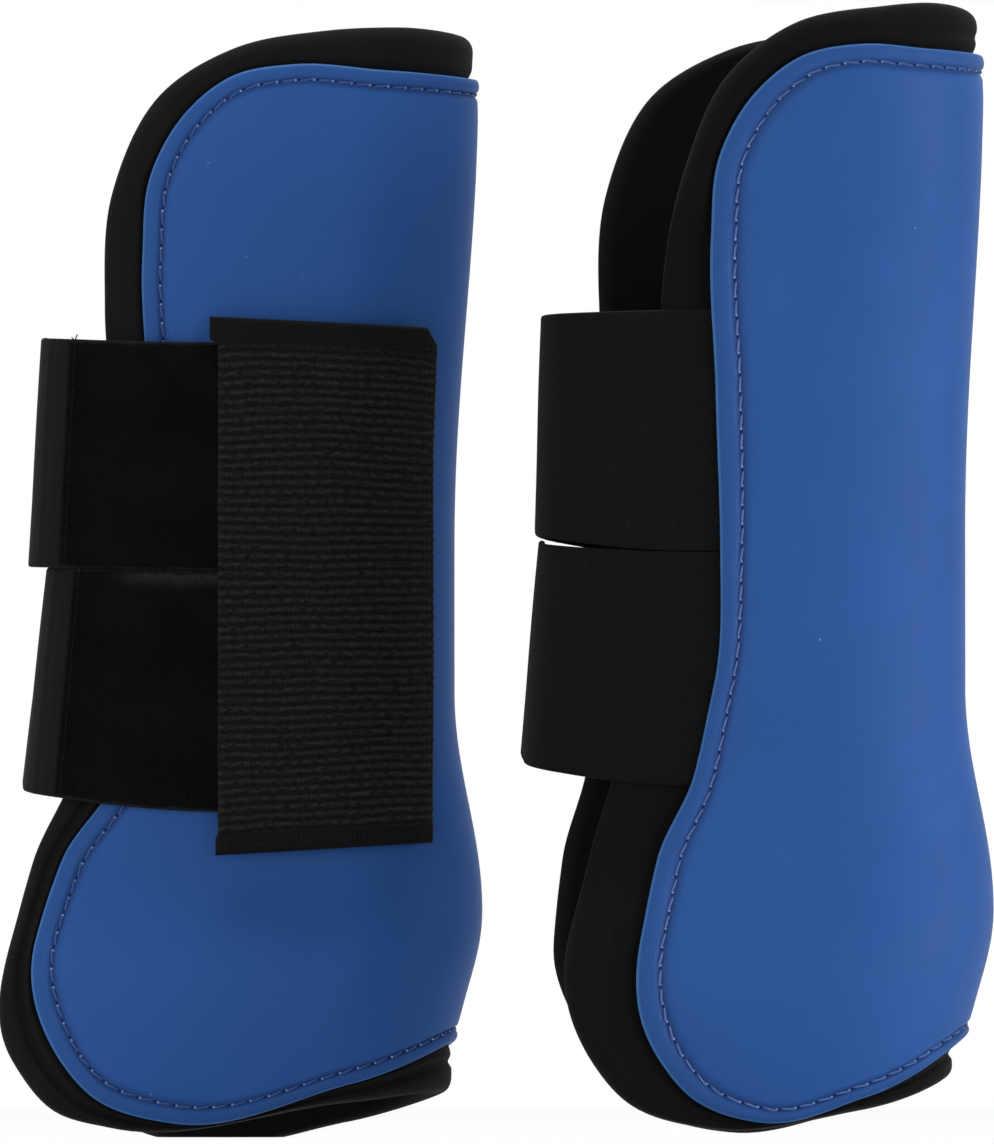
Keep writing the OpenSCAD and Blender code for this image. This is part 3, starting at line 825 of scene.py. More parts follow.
def lining_rings(side):
    """Rings from the lining's edge: a quarter turn over the roll, flat shares of the margin up to
    the shell, and insets below it. Gives the shares, the margin and the rings."""
    shell, lining = EDGES[side]
    margin = np.linalg.norm(shell - lining, axis=1)
    roll = np.minimum(ROLL, ROLL_SHARE * margin)
    share = np.concatenate([
        (1 - np.cos(TURNS))[:, None] * roll / margin,
        (roll + FLATS[:, None] * (margin - roll)) / margin,
    ])
    rings = lining + share[..., None] * (shell - lining)
    below = np.stack(inset_rings(shell, UNDER, SEAM))
    return share, margin, np.concatenate([rings, below])


widest = [float(lining_rings(side)[1].max().round(1)) for side in SIDES]
print("widest margins of the linings", widest, "mm")

# %% [markdown]
# The two faces meet in the roll's nose, half way through the foam. At the heel the nose and the
# roll stand out or in, the crease is calmer in the upper half, and where the strap ends lie
# between shell and lining the lining gives way, so that nothing sinks into anything.

# %% Form of the lining
SWELL = 2.4
MID = (SWELL - LINING_T) / 2
HELD = 1.1
CREASE, CREASE_DEPTH, CREASE_W = 0.62, 1.7, 2.0
# The crease is shallow where the margin is wide, and in full where it is narrower by the ease
SHALLOW, WIDE, WIDE_EASE = 0.35, 15, 5
# How far the lining stands out at the heel: its nose and its roll
HEEL = {"left": (2.3, 1.0), "right": (-1.2, -1.8)}
# Half the heel's girth, its height, and over how far it ends above
HEEL_HALF, HEEL_Z, HEEL_EASE = 32, 20, 20
# How much of the crease is left in the upper half
CALM = {"left": 0.05, "right": 0.3}
CALM_Z, CALM_RUN = 90, 60
# Height and length of the roll's unevenness
SOFT, SOFT_SIZE = 0.22, 9
# Height of the upper face at the insets below the shell
UNDER_H = np.array([[1.0], [0.5], [0.0]])
STRAP_LOW, STRAP_TOP = 86, 202
POCKET_MORE, POCKET_EASE = 36, 14


def pocket(u, z):
    """1 where the straps' ends lie between shell and lining on the inner flap, else 0."""
    low = rise((z - STRAP_LOW + POCKET_MORE) / POCKET_EASE)
    high = rise((STRAP_TOP + POCKET_MORE - z) / POCKET_EASE)
    return np.where(u > -ARC, 0, low * high)


def lining_heights(side, share, margin, u, z):
    """Upper and lower face over the rings: from the nose, a sine quarter up to the swell less the
    crease, held down towards the shell; below, the same quarter down to the foam's thickness."""
    n = len(share)
    held = np.concatenate([np.zeros(len(TURNS)), FLATS])[:, None]
    lift = np.concatenate([np.sin(TURNS), np.ones(len(FLATS))])[:, None]
    soft = SOFT * soft_wave(u, z, SOFT_SIZE, 2.0 + FLIP[side])
    tight = SHALLOW + (1 - SHALLOW) * rise((WIDE - margin) / WIDE_EASE)
    calm = 1 - (1 - CALM[side]) * rise((z[:n] - CALM_Z) / CALM_RUN)
    fold = CREASE_DEPTH * tight * calm * hump((share - CREASE) * margin / CREASE_W)
    heel = hump(u / HEEL_HALF) * (1 - rise((z - HEEL_Z) / HEEL_EASE))
    nose_out, roll_out = HEEL[side]
    nose = MID + nose_out * heel
    top = SWELL + soft[:n] - (SWELL - HELD) * held**4 - fold + roll_out * heel[:n]
    upper = nose[:n] + (top - nose[:n]) * lift
    upper = np.concatenate([upper, UNDER_H * np.ones_like(margin)])
    upper = np.minimum(upper, upper * (1 - pocket(u, z)))
    lower = nose + (-LINING_T - nose) * np.concatenate([lift, np.ones((len(UNDER), 1))])
    return upper, lower


print("the roll is", SWELL + LINING_T, "mm thick and held down to", HELD + LINING_T, "mm at the shell")

# %% [markdown]
# A real lining is cut from a sheet of foam, bound round its edge and glued into the shell. Here the
# rings with their two heights and the flat part inside them make one closed surface.

# %% Soft linings
# Height and length of the inner face's unevenness
SAG, SAG_SIZE = 0.25, 14


def make_lining(side):
    """The lining: the rings with their two heights, and the grid of the flat part inside them."""
    share, margin, rings = lining_rings(side)
    upper, lower = lining_heights(side, share, margin, rings[..., 0], rings[..., 1])
    inside = middle(rings[-1])
    sag = SAG * soft_wave(inside[:, 0], inside[:, 1], SAG_SIZE, 0.4)
    points, quads = closed_layer(
        side, np.concatenate([rings.reshape(-1, 2), inside]),
        np.concatenate([upper.ravel(), np.zeros(len(inside))]),
        np.concatenate([lower.ravel(), sag - LINING_T]),
    )
    piece = make_piece(f"{side}_soft_lining", place(points, side), quads, [NEOPRENE[side]], sharp=70)
    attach(piece, "boot_pair")
    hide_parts(f"{side}_lining")
    return piece


for side in SIDES:
    print(make_lining(side).name)

# %% [markdown]
# ## Stitches
# A stitch is a short thread that comes up through one hole and goes down through the next. Each
# is a tube whose ends dip into the cloth, a little slanted to the seam as a lock stitch is. The
# thread is one dull blue, painted darker on the left boot and paler on the right, as painted
# shade and light, and the straps are sewn in black.


# %% Thread finishes
def thread_finish(name, dark, light):
    """Twisted thread: slanting stripes round the tube, a little sheen."""
    thread, shader = finish_of(name, Roughness=0.6, Specular_IOR_Level=0.1)
    twist = stripes(thread, coordinates(thread, True), 140, 4.0)
    colour(thread, shader, ramp(thread, twist, -1, 1, dark, light))
    bump(thread, shader, twist, 0.00005)
    return thread


# Painted shade and light: the left boot's thread is painted darker, the right's paler
edge_thread = {
    "left": thread_finish("left_edge_thread", (0.020, 0.055, 0.19), (0.085, 0.150, 0.37)),
    "right": thread_finish("right_edge_thread", (0.045, 0.092, 0.27), (0.135, 0.215, 0.47)),
}
# Painted highlight: the knots of under thread are painted pale
painted_knot_highlight = thread_finish("painted_knot_highlight", (0.24, 0.35, 0.62), (0.46, 0.58, 0.82))
dark_thread = thread_finish("dark_thread", (0.002, 0.002, 0.002), (0.006, 0.0058, 0.0058))
# Painted shade: the needle holes are dark tubes
painted_hole_shade, shader = finish_of("painted_hole_shade", Base_Color=(0.007, 0.020, 0.085, 1), Roughness=0.9,
                                Specular_IOR_Level=0.03)
print("made", painted_knot_highlight.name, dark_thread.name, painted_hole_shade.name)

# %% [markdown]
# Hundreds of stitches could be copies of one object, but then each would have to be turned to the
# seam. As arrays they cost no more than one: the first axis counts the stitches, the second the
# steps along each, and the third the points round it.

# %% Tubes of thread
TUBE = 6
DIPS = np.linspace(-1, 1, 7)
# A direction that no stitch runs along, to find two that are square to the stitch
ASKEW = np.array([0.31, 0.83, 0.47])


def unit(v):
    """Directions with length 1: each divided by its own length."""
    return v / np.linalg.norm(v, axis=-1, keepdims=True)


def tubes(paths, radius):
    """Closed tubes along paths (count, steps, 3): circles square to each step, tapered ends."""
    count, steps = paths.shape[:2]
    along = unit(np.gradient(paths, axis=1))
    side = unit(np.cross(along, ASKEW))
    up = np.cross(along, side)
    a = 2 * np.pi * np.arange(TUBE) / TUBE
    fat = radius * np.sqrt(np.clip(1 - np.linspace(-0.97, 0.97, steps) ** 6, 0, 1))
    ring = np.cos(a)[:, None] * side[:, :, None] + np.sin(a)[:, None] * up[:, :, None]
    points = paths[:, :, None] + fat[None, :, None, None] * ring
    ids = np.arange(count * steps * TUBE).reshape(count, steps, TUBE)
    after = np.roll(ids, -1, 2)
    walls = np.stack([ids[:, :-1], ids[:, 1:], after[:, 1:], after[:, :-1]], -1).reshape(-1, 4)
    first, last = ids[:, 0], ids[:, -1]
    caps = [
        first[:, [3, 2, 1, 0]], first[:, [5, 4, 3, 0]],
        last[:, [0, 1, 2, 3]], last[:, [0, 3, 4, 5]],
    ]
    length, round_it = np.meshgrid(np.linspace(0, 0.05, steps), np.arange(TUBE) / TUBE, indexing="ij")
    uv = np.tile(np.stack([length, round_it], -1).reshape(-1, 2), (count, 1))
    return points.reshape(-1, 3), np.concatenate([walls, *caps]), uv


def stitch_paths(centre, along, up, length, slant, dip):
    """Paths of stitches: straight along the seam, slanted across it, ends dipping down."""
    across = np.cross(up, along)
    t = DIPS[None, :, None]
    line = along[:, None] * np.cos(slant) + across[:, None] * np.sin(slant)
    lift = 1 - 1.6 * np.abs(t) ** 4
    return centre[:, None] + line * t * length / 2 + up[:, None] * dip * lift


print("points in one stitch", TUBE * len(DIPS))

# %% [markdown]
# The row runs in the shell's groove, so its track is the shell's edge moved in by the seam's
# distance. The track is measured in space, where the boot is round, and not on the flat outline,
# so that the stitches come out equally long everywhere.

# %% Track of the seam
GROOVE_FLOOR = SHELL_H - GROOVE


def seam_track(side):
    """The seam as a closed ring of girth and height, and the length run up to each of its points."""
    ring = inset(EDGES[side][0], SEAM * seam_share(side))
    ring = np.concatenate([ring, ring[:1]])
    track = wrap(side, ring[:, 0], ring[:, 1], GROOVE_FLOOR)
    run = np.concatenate([[0], np.cumsum(np.linalg.norm(np.diff(track, axis=0), axis=1))])
    return ring, run


TRACKS = {side: seam_track(side) for side in SIDES}


def on_seam(side, distance, more=0.0):
    """The point so far along the seam, and so much above the groove's floor."""
    ring, run = TRACKS[side]
    d = distance % run[-1]
    u, z = (np.interp(d, run, ring[:, i]) for i in (0, 1))
    return wrap(side, u, z, GROOVE_FLOOR + more)


print("seam lengths", {side: int(TRACKS[side][1][-1]) for side in SIDES}, "mm")

# %% [markdown]
# Between two stitches the needle has left a hole, drawn as a dark tube that is painted shade,
# and beside it a bit of the under thread comes up as a knot, painted pale as a painted highlight.
# These three make the row look lively from afar, where single threads can't be seen any more.

# %% Edge stitches
PITCH = 4.7
STITCH_SHARE = 0.84
STITCH_SLANT, STITCH_DIP = np.radians(8), 0.25
THREAD_R = 0.31
HOLE_R, HOLE_HALF = 0.34, 0.5
KNOT_R = {"left": 0.38, "right": 0.3}
KNOT_HALF, KNOT_BACK = 0.3, 0.75


def make_edge_stitches(side):
    """The row along the shell's groove: stitches, needle holes between them, and a knot at each."""
    whole = TRACKS[side][1][-1]
    count = int(round(whole / PITCH))
    where = (np.arange(count) + 0.5) / count * whole
    centre = on_seam(side, where, 0.1)
    along = unit(on_seam(side, where + 0.5) - on_seam(side, where - 0.5))
    up = unit(on_seam(side, where, 1) - on_seam(side, where))
    wobble = 1 + 0.25 * np.sin(where * 1.7)
    slant = STITCH_SLANT * wobble[:, None, None]
    paths = stitch_paths(centre, along, up, STITCH_SHARE * PITCH, slant, STITCH_DIP)
    points, quads, uv = tubes(paths, THREAD_R)
    # A dark tube of painted shade at each needle hole
    hole = on_seam(side, where + PITCH / 2, 0.02)
    bend = np.stack([hole - along * HOLE_HALF, hole, hole + along * HOLE_HALF], 1)
    hole_points, hole_quads, hole_uv = tubes(bend, HOLE_R)
    # A knot of under thread, painted pale as a painted highlight
    loop = hole + up * (0.12 + 0.1 * wobble[:, None]) - along * KNOT_BACK
    start, end = loop - along * KNOT_HALF - up * 0.2, loop + along * KNOT_HALF - up * 0.1
    knot = np.stack([start, loop, end], 1)
    knot_points, knot_quads, knot_uv = tubes(knot, KNOT_R[side])
    which = np.repeat([0, 1, 2], [len(quads), len(hole_quads), len(knot_quads)])
    points = place(np.concatenate([points, hole_points, knot_points]), side)
    first = np.cumsum([len(uv), len(hole_uv)])
    quads = np.concatenate([quads, hole_quads + first[0], knot_quads + first[1]])
    piece = make_piece(
        f"{side}_edge_stitches", points, quads, [edge_thread[side], painted_hole_shade, painted_knot_highlight],
        uv=np.concatenate([uv, hole_uv, knot_uv]), which=which, sharp=80,
    )
    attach(piece, "boot_pair")
    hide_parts(f"{side}_edge_thread")
    print(piece.name, count, "stitches")


for side in SIDES:
    make_edge_stitches(side)

# %% [markdown]
# ## Elastic straps
# Two wide elastic straps leave the inner flap from under the shell, cross the open front and
# end under the tab on the outer flap. A strap is a flat band carried along a path of straights
# and bends. It bends at two hinges of the frame, and one piece may bend at only one, so it is
# cut in the middle of the front, where both halves have the same section. The weave is a fine
# twill, painted lighter on the left boot and darker on the right, as painted light and shade on
# one elastic.

# %% Elastic finish
# Painted light and shade: the left boot's elastic is painted lighter, the right's darker
STRAP_PAINTED_LIGHT = {"left": (0.0052, 0.0092), "right": (0.0006, 0.0046)}
PAINTED_GLINT_GREY = (0.020, 0.019, 0.021)


def elastic_finish(side):
    """Black twill: slanting ribs broken by the warp, with single threads painted paler as painted
    highlights.
    """
    elastic, shader = finish_of(
        f"{side}_twill_elastic", Roughness=0.7, Specular_IOR_Level=0.05,
        Sheen_Weight=0.02, Sheen_Roughness=0.5,
    )
    cloth = coordinates(elastic, True)
    twill = stripes(elastic, cloth, 88, 88)
    warp = stripes(elastic, cloth, 0, 150)
    yarn = noise(elastic, cloth, 190, 2)
    cloud = noise(elastic, cloth, 9, 3)
    weave = math(elastic, "ADD", twill, math(elastic, "MULTIPLY", warp, 0.35))
    uneven = math(elastic, "MULTIPLY", math(elastic, "SUBTRACT", yarn, 0.5), 5)
    # Each boot's twill tones carry its painted light and shade
    dark, light = ((v, v, v) for v in STRAP_PAINTED_LIGHT[side])
    tone = ramp(elastic, math(elastic, "ADD", weave, uneven), -1.6, 1.7, dark, light)
    # Painted highlights: a few specks painted paler where single threads would catch the light
    painted_glint = math(elastic, "GREATER_THAN", noise(elastic, cloth, 420, 1), 0.74)
    tone = over(elastic, math(elastic, "MULTIPLY", painted_glint, 0.4), tone, PAINTED_GLINT_GREY)
    colour(elastic, shader, tone)
    relief = math(elastic, "ADD", weave, math(elastic, "MULTIPLY", cloud, 2))
    bump(elastic, shader, relief, 0.00007)
    return elastic


ELASTIC = {side: elastic_finish(side) for side in SIDES}
print("made", [material.name for material in ELASTIC.values()])

# %% [markdown]
# Seen from above, a strap runs straight along the inner flap, turns a quarter round, crosses the
# front, turns again and runs along the outer flap. A point of it is given by its distance q along
# this path, its share v of the strap's height, and its distance n out from the middle of the band.

# %% Strap path
STRAP_T = 1.6
STRAP_GAP = 1.6
BEND_IN = 8
BEND = BEND_IN + STRAP_T / 2
ROOT_END = -54.0
SIDE_END = -47.5
BEND_X = BEND_IN + STRAP_T - STRAP_FRONT
ROOT_Y = ROOT_FACE - STRAP_T / 2
SIDE_Y = -(HALF_W + SHELL_H + STRAP_GAP + STRAP_T / 2)
ARM = ROOT_END - BEND_X
QUARTER = np.pi / 2 * BEND
ACROSS = ROOT_Y - SIDE_Y - 2 * BEND
# Where along the path the first turn, the front, the second turn, the side and the end come
MARKS = np.cumsum([ARM, QUARTER, ACROSS, QUARTER, SIDE_END - BEND_X])
WHOLE = MARKS[-1]
print("strap length", round(WHOLE, 1), "mm")

# %% [markdown]
# Elastic under tension isn't straight: its long edges sag or rise towards the front. Each edge is a
# smooth step from root to tab with a hill in the middle, and its three heights are all it needs.

# %% Long edges of the straps
# Heights of the four long edges at the root, the front and the tab, from top to bottom
STRAP_EDGES = {
    "left": (
        (200.6, 201.2, 199.6), (144.2, 143.7, 142.3), (144.05, 143.55, 142.2), (89.0, 89.0, 81.6),
    ),
    "right": (
        (205.4, 202.8, 200.0), (145.4, 151.4, 143.4), (145.2, 148.4, 143.2), (87.2, 95.4, 88.0),
    ),
}
# Numbers of each strap's upper and lower edge
BANDS = {"upper": (0, 1), "lower": (2, 3)}
# How pointed the hill of an edge is
HILL = 1.7


def edge_height(side, row, q):
    """Height of a long edge at q along the strap: root to tab, with a hill at the front."""
    root, front, tab = STRAP_EDGES[side][row]
    even = root + (tab - root) * rise(q / WHOLE)
    return even + (front - (root + tab) / 2) * hump(2 * q / WHOLE - 1) ** HILL


print("edges at the middle of the front", {
    side: [round(float(edge_height(side, row, WHOLE / 2)), 1) for row in range(4)] for side in SIDES
})

# %% [markdown]
# The front of a strap also leans, because its upper and lower edge are stretched differently. With
# that, one function gives any point of any strap, for the elastic, the tape on it and the stitches.

# %% Points of a strap
# How far the strap's front stands back at its upper and lower edge
STRAP_SLANT = {
    ("left", "upper"): (2.8, -0.9), ("left", "lower"): (4.3, -2.4),
    ("right", "upper"): (-0.1, -1.6), ("right", "lower"): (-0.6, -5.2),
}
# Share of the strap over which the front leans
LEAN_SHARE = 0.55


def strap_point(side, band, q, v, n):
    """Point of a strap: q along its path, v from 0 low to 1 high, n out from its middle."""
    first = np.pi / 2 * np.clip((q - MARKS[0]) / QUARTER, 0, 1)
    second = np.pi / 2 * np.clip((q - MARKS[2]) / QUARTER, 0, 1)
    x = ROOT_END - np.minimum(q, ARM) - BEND * np.sin(first)
    x = x + BEND * (1 - np.cos(second)) + np.maximum(0, q - MARKS[3])
    y = ROOT_Y - BEND * (1 - np.cos(first)) - np.clip(q - MARKS[1], 0, ACROSS)
    y = y - BEND * np.sin(second)
    turn = first + second
    high, low = (edge_height(side, row, q) for row in BANDS[band])
    z = low + v * (high - low)
    top, foot = STRAP_SLANT[side, band]
    lean = (foot + (top - foot) * v) * hump((q - WHOLE / 2) / (LEAN_SHARE * WHOLE))
    x = x - n * np.sin(turn) + lean
    y = y + n * np.cos(turn)
    return np.stack(np.broadcast_arrays(x, y, z), -1)


front_point = strap_point("left", "upper", WHOLE / 2, 0.5, 0)
print("the left upper strap crosses the front at", front_point.round(1), "mm")

# %% [markdown]
# Bands, tapes and pads all have soft edges. Their grids are fine near the edges and coarse between
# them, and the thickness falls off in a quarter round, which costs less than a Bevel modifier.

# %% Soft edges
STRAP_W = 57
# Size of the finest steps across a strap, and how many even ones lie between them
STRAP_FINE, STRAP_EVEN = 0.6, 26


def edge_steps(width, fine, coarse):
    """Steps from 0 to 1 across a width: close together at both edges, even between them."""
    near = np.array([0, 0.12, 0.35, 0.75, 1.3]) * fine / width
    even = np.linspace(near[-1], 1 - near[-1], coarse)[1:-1]
    return np.concatenate([near, even, 1 - near[::-1]])


def round_edge(v, width, radius):
    """1 inside, falling to 0 in a quarter round within a radius of either edge."""
    d = np.minimum(v, 1 - v) * width / radius
    return np.sqrt(1 - (1 - np.clip(d, 0, 1)) ** 2)


across = STRAP_W * edge_steps(STRAP_W, STRAP_FINE, STRAP_EVEN)
print("first steps across a strap", across[:6].round(2), "mm")

# %% [markdown]
# The hinges are given as two points of each strap's middle line. The cloth map goes along
# with the strap's own lengths, so the weave bends with it.

# %% Hinges and cloth map
HINGE_MORE = 4
HINGE_IN = (MARKS[0] - HINGE_MORE, MARKS[1] + HINGE_MORE)
HINGE_OUT = (MARKS[2] - HINGE_MORE, MARKS[3] + HINGE_MORE)


def cloth_uv(q, v, width):
    """UV of a woven band in hundreds of millimetres, the same on both faces."""
    one = np.stack(np.broadcast_arrays(q, v * width), -1).reshape(-1, 2) / CLOTH_UNIT
    return np.concatenate([one, one])


def hinge_ends(side, band, hinge):
    """The two points of the strap's middle line between which it bends."""
    return [tuple(place(strap_point(side, band, np.array(q), 0.5, 0), side)) for q in hinge]


print("hinges at", np.round([HINGE_IN, HINGE_OUT], 1).tolist(), "mm along the strap")

# %% [markdown]
# A half is a slab with thin selvedges. It ripples a little, as relaxed elastic does, and two small
# upright folds stand before the pile tape, where the strap is pushed together.

# %% Strap halves
STRAP_ROWS = 90
# Share of the thickness that is left at the long edges, and the radius of their rounding
SELVEDGE, SELVEDGE_R = 0.12, 0.75
HALF = (MARKS[1] + MARKS[2]) / 2
# The folds: how far before the bend's end, and how high
FOLDS = ((7.2, 0.26), (4.4, 0.34))
FOLD_HALF = 1.2
# Height and length of the ripples, and over how far they start and end
RIPPLE, RIPPLE_SIZE = 0.14, 7
RIPPLE_IN, RIPPLE_OUT = 30, 60


def make_strap(side, band, part, q0, q1, hinge, nodes):
    """One half of a strap, bent smoothly along its path round the bend."""
    q = np.linspace(q0, q1, STRAP_ROWS)[:, None]
    v = edge_steps(STRAP_W, STRAP_FINE, STRAP_EVEN)[None, :]
    thick = STRAP_T / 2 * (SELVEDGE + (1 - SELVEDGE) * round_edge(v, STRAP_W, SELVEDGE_R))
    ripple = RIPPLE * soft_wave(q, STRAP_W * v, RIPPLE_SIZE, 1.0 + FLIP[side])
    ripple = ripple * rise(q / RIPPLE_IN) * rise((WHOLE - q) / RIPPLE_OUT)
    for fold, size in FOLDS:
        ripple = ripple + size * hump((q - MARKS[3] + fold) / FOLD_HALF)
    points, quads = slab(
        strap_point(side, band, q, v, ripple + thick), strap_point(side, band, q, v, ripple - thick)
    )
    piece = make_piece(
        f"{side}_{band}_elastic_{part}", place(points, side), quads, [ELASTIC[side]],
        uv=cloth_uv(q, v, STRAP_W), sharp=60,
    )
    start, end = hinge_ends(side, band, hinge)
    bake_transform(piece)
    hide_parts(*nodes)


for side in SIDES:
    for band in BANDS:
        name = f"{side}_{band}_strap"
        make_strap(
            side, band, "inner", 0, HALF,
            HINGE_IN, [f"{name}_root"],
        )
        make_strap(
            side, band, "outer", HALF, WHOLE,
            HINGE_OUT, [f"{name}_front", f"{name}_side"],
        )
print("straps", len(BANDS) * len(SIDES))

# %% [markdown]
# On the outer flap each strap carries a brushed pile tape, sewn on with a bar of zigzag
# stitches. The pile is a bumpy, matt black with a velvet sheen. Real hairs would make it heavy and
# couldn't be exported, so two layers of noise stand for the fuzz.

# %% Pile finish
PILE_BLACK, PILE_GREY = (0.0024, 0.0024, 0.0024), (0.0052, 0.0051, 0.0051)
PAINTED_SHEEN_GREY, FLECK_GREY = (0.021, 0.021, 0.0215), (0.35, 0.35, 0.36)
pile, shader = finish_of("brushed_pile", Roughness=0.95, Specular_IOR_Level=0.02,
                         Sheen_Weight=0.012, Sheen_Roughness=0.35)
cloth = coordinates(pile, True)
fuzz = noise(pile, cloth, 130, 4)
patch = noise(pile, cloth, 7, 3)
tone = ramp(pile, math(pile, "ADD", fuzz, patch), 0.7, 1.3, PILE_BLACK, PILE_GREY)
# Painted sheen: where the mark is, the pile is painted lighter
painted_light_share = math(pile, "MULTIPLY", mark(pile, "painted_sheen"), math(pile, "MULTIPLY", fuzz, 1.6))
tone = over(pile, painted_light_share, tone, PAINTED_SHEEN_GREY)
tone = over(pile, flecks(pile, cloth, 16, 0.045, 0.05), tone, FLECK_GREY)
colour(pile, shader, tone)
bump(pile, shader, math(pile, "ADD", fuzz, math(pile, "MULTIPLY", patch, 1.5)), 0.0006)
print("made", pile.name)

# %% [markdown]
# The tape is a second slab on the strap's outer face. Its edge wanders a little, as cut pile does,
# and along the top of the lower tape a band of painted sheen lightens it, a painted highlight.

# %% Pile tapes
PILE_T = 1.2
PILE_W = 56
PILE_START = MARKS[3] - 1.7
PILE_INSET = 0.012
PILE_LONG, PILE_EDGE = 50, 0.9
PILE_FINE, PILE_EVEN = 0.8, 50
FRAY, FRAY_SIZE = 0.006, 1.1
# Height, length and start of the pile's coarse and fine waves
TUFTS = ((0.16, 3.3, 4.0), (0.1, 1.2, 2.0))
# Share of the painted sheen, a painted highlight, along the tape's top edge
PAINTED_SHEEN_SHARE = {"upper": 0, "lower": 1}
# How far down from the edge and back from the tape's end it reaches, and over how far it starts
SHEEN_DEPTH, SHEEN_LONG, SHEEN_EASE = 4.5, 44, 14


def follow_strap(piece, side, band):
    """Bakes the piece's placement into its mesh, like the outer strap half."""
    start, end = hinge_ends(side, band, HINGE_OUT)
    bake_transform(piece)


def make_tape(side, band):
    """The pile tape on the strap's outer face, its edges soft and a little uneven."""
    length = WHOLE - PILE_START
    q = (PILE_START + edge_steps(length, PILE_FINE, PILE_EVEN) * length)[:, None]
    v = edge_steps(PILE_W, PILE_FINE, PILE_EVEN)[None, :]
    frayed = FRAY * soft_wave(q, 0 * v, FRAY_SIZE, 0.3)
    grow = PILE_INSET + (1 - 2 * PILE_INSET) * (v + frayed * (2 * v - 1))
    soft = sum(high * soft_wave(q, PILE_W * v, size, start) for high, size, start in TUFTS)
    ends = round_edge((q - q[0]) / (q[-1] - q[0]), PILE_LONG, PILE_EDGE)
    rim = round_edge(v, PILE_W, PILE_EDGE) * ends
    out = STRAP_T / 2 + 0.05 + (PILE_T - 0.05 + soft) * rim
    points, quads = slab(
        strap_point(side, band, q, grow, out),
        strap_point(side, band, q, grow, STRAP_T / 2 + 0 * out),
    )
    # Painted sheen: a lighter band along the lower tape's top edge
    painted_sheen = PAINTED_SHEEN_SHARE[band] * hump((1 - v) * PILE_W / SHEEN_DEPTH) * rise((q - WHOLE + SHEEN_LONG) / SHEEN_EASE)
    piece = make_piece(
        f"{side}_{band}_pile", place(points, side), quads, [pile],
        uv=cloth_uv(q, v, PILE_W), marks={"painted_sheen": np.tile(painted_sheen.ravel(), 2)}, sharp=75,
    )
    follow_strap(piece, side, band)
    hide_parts(f"{side}_{band}_pile_tape")


print("tapes from", round(PILE_START, 1), "to", round(WHOLE, 1), "mm along the strap")

# %% [markdown]
# A bar of stitches holds the tape's front end. Every other stitch slants the other way, as a
# zigzag does, and two frayed ends stand up past the strap's top edge. With both functions at hand,
# each strap gets its tape and its bar.

# %% Bar seams
BAR_ROW = 1.3
BAR_COUNT = 20
BAR_R, BAR_LONG = 0.17, 2.5
BAR_SLANT, BAR_DIP = np.radians(5), 0.05
# Reach past the top edge and sideways lean of the frayed ends
FRAYED = ((2.1, 0.5), (1.3, -0.9))


def make_bar(side, band):
    """A row of stitches across the tape's front end, with two frayed ends on top."""
    v = (np.arange(BAR_COUNT) + 0.5) / BAR_COUNT
    out = STRAP_T / 2 + PILE_T + 0.02
    q = PILE_START + BAR_ROW + 0 * v
    centre = strap_point(side, band, q, v, out)
    above, below = (strap_point(side, band, q, v + step, out) for step in (0.01, -0.01))
    along = unit(above - below)
    up = unit(strap_point(side, band, q, v, out + 1) - centre)
    slant = BAR_SLANT * (1 - 2 * (np.arange(BAR_COUNT) % 2))[:, None, None]
    paths = [stitch_paths(centre, along, up, BAR_LONG, slant, BAR_DIP)]
    t = np.linspace(0, 1, len(DIPS))
    for reach, lean in FRAYED:
        q = PILE_START + BAR_ROW + lean * t**2
        end = strap_point(side, band, q, 0.985 + reach * t / STRAP_W, out - 0.3 * t)
        paths.append(end[None])
    points, quads, uv = tubes(np.concatenate(paths), BAR_R)
    piece = make_piece(
        f"{side}_{band}_bar_stitches", place(points, side), quads, [dark_thread], uv=uv, sharp=80
    )
    follow_strap(piece, side, band)
    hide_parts(f"{side}_{band}_bar_seam")


for side in SIDES:
    for band in BANDS:
        make_tape(side, band)
        make_bar(side, band)
print("tapes", len(BANDS) * len(SIDES), "with bars of", BAR_COUNT, "stitches")

# %% [markdown]
# ## The closing tab
# Both straps end under one wide tab of ribbed webbing. Its ribs run along the strap and stand
# out of the cloth, so they are real ridges in the mesh, and the finer weave across each rib is a
# bump. The ends are folded into hems at the top and the bottom, where no ribs show.

# %% Webbing finish
WEB_BLACK, WEB_GREY = (0.0008, 0.0008, 0.0008), (0.0168, 0.0166, 0.0168)
WEB_PAINTED_GLINT = (0.026, 0.026, 0.027)
webbing, shader = finish_of("ribbed_webbing", Roughness=0.7, Specular_IOR_Level=0.07,
                            Sheen_Weight=0.015, Sheen_Roughness=0.5)
cloth = coordinates(webbing, True)
dash = noise(webbing, stretched(webbing, cloth, 62, 120), 1, 3)
teeth = stripes(webbing, cloth, 92)
ridge = mark(webbing, "ridge")
broken = math(webbing, "MULTIPLY", math(webbing, "SUBTRACT", dash, 0.36), 3.4)
# Painted light and shade: the ribs' crests are painted lighter and the valleys near black, broken by
# the yarn's unevenness
crest = math(webbing, "ADD", ridge, 0.12)
painted_light_share = math(webbing, "MULTIPLY", crest, math(webbing, "ADD", broken, 0.15))
tone = ramp(webbing, painted_light_share, 0.0, 1.0, WEB_BLACK, WEB_GREY)
# Painted highlights: a few specks painted paler where threads would catch the light
painted_glint = math(webbing, "GREATER_THAN", noise(webbing, cloth, 260, 1), 0.73)
tone = over(webbing, math(webbing, "MULTIPLY", painted_glint, 0.45), tone, WEB_PAINTED_GLINT)
colour(webbing, shader, tone)
bump(webbing, shader, math(webbing, "ADD", math(webbing, "MULTIPLY", teeth, 0.12), dash), 0.00030)
print("made", webbing.name)

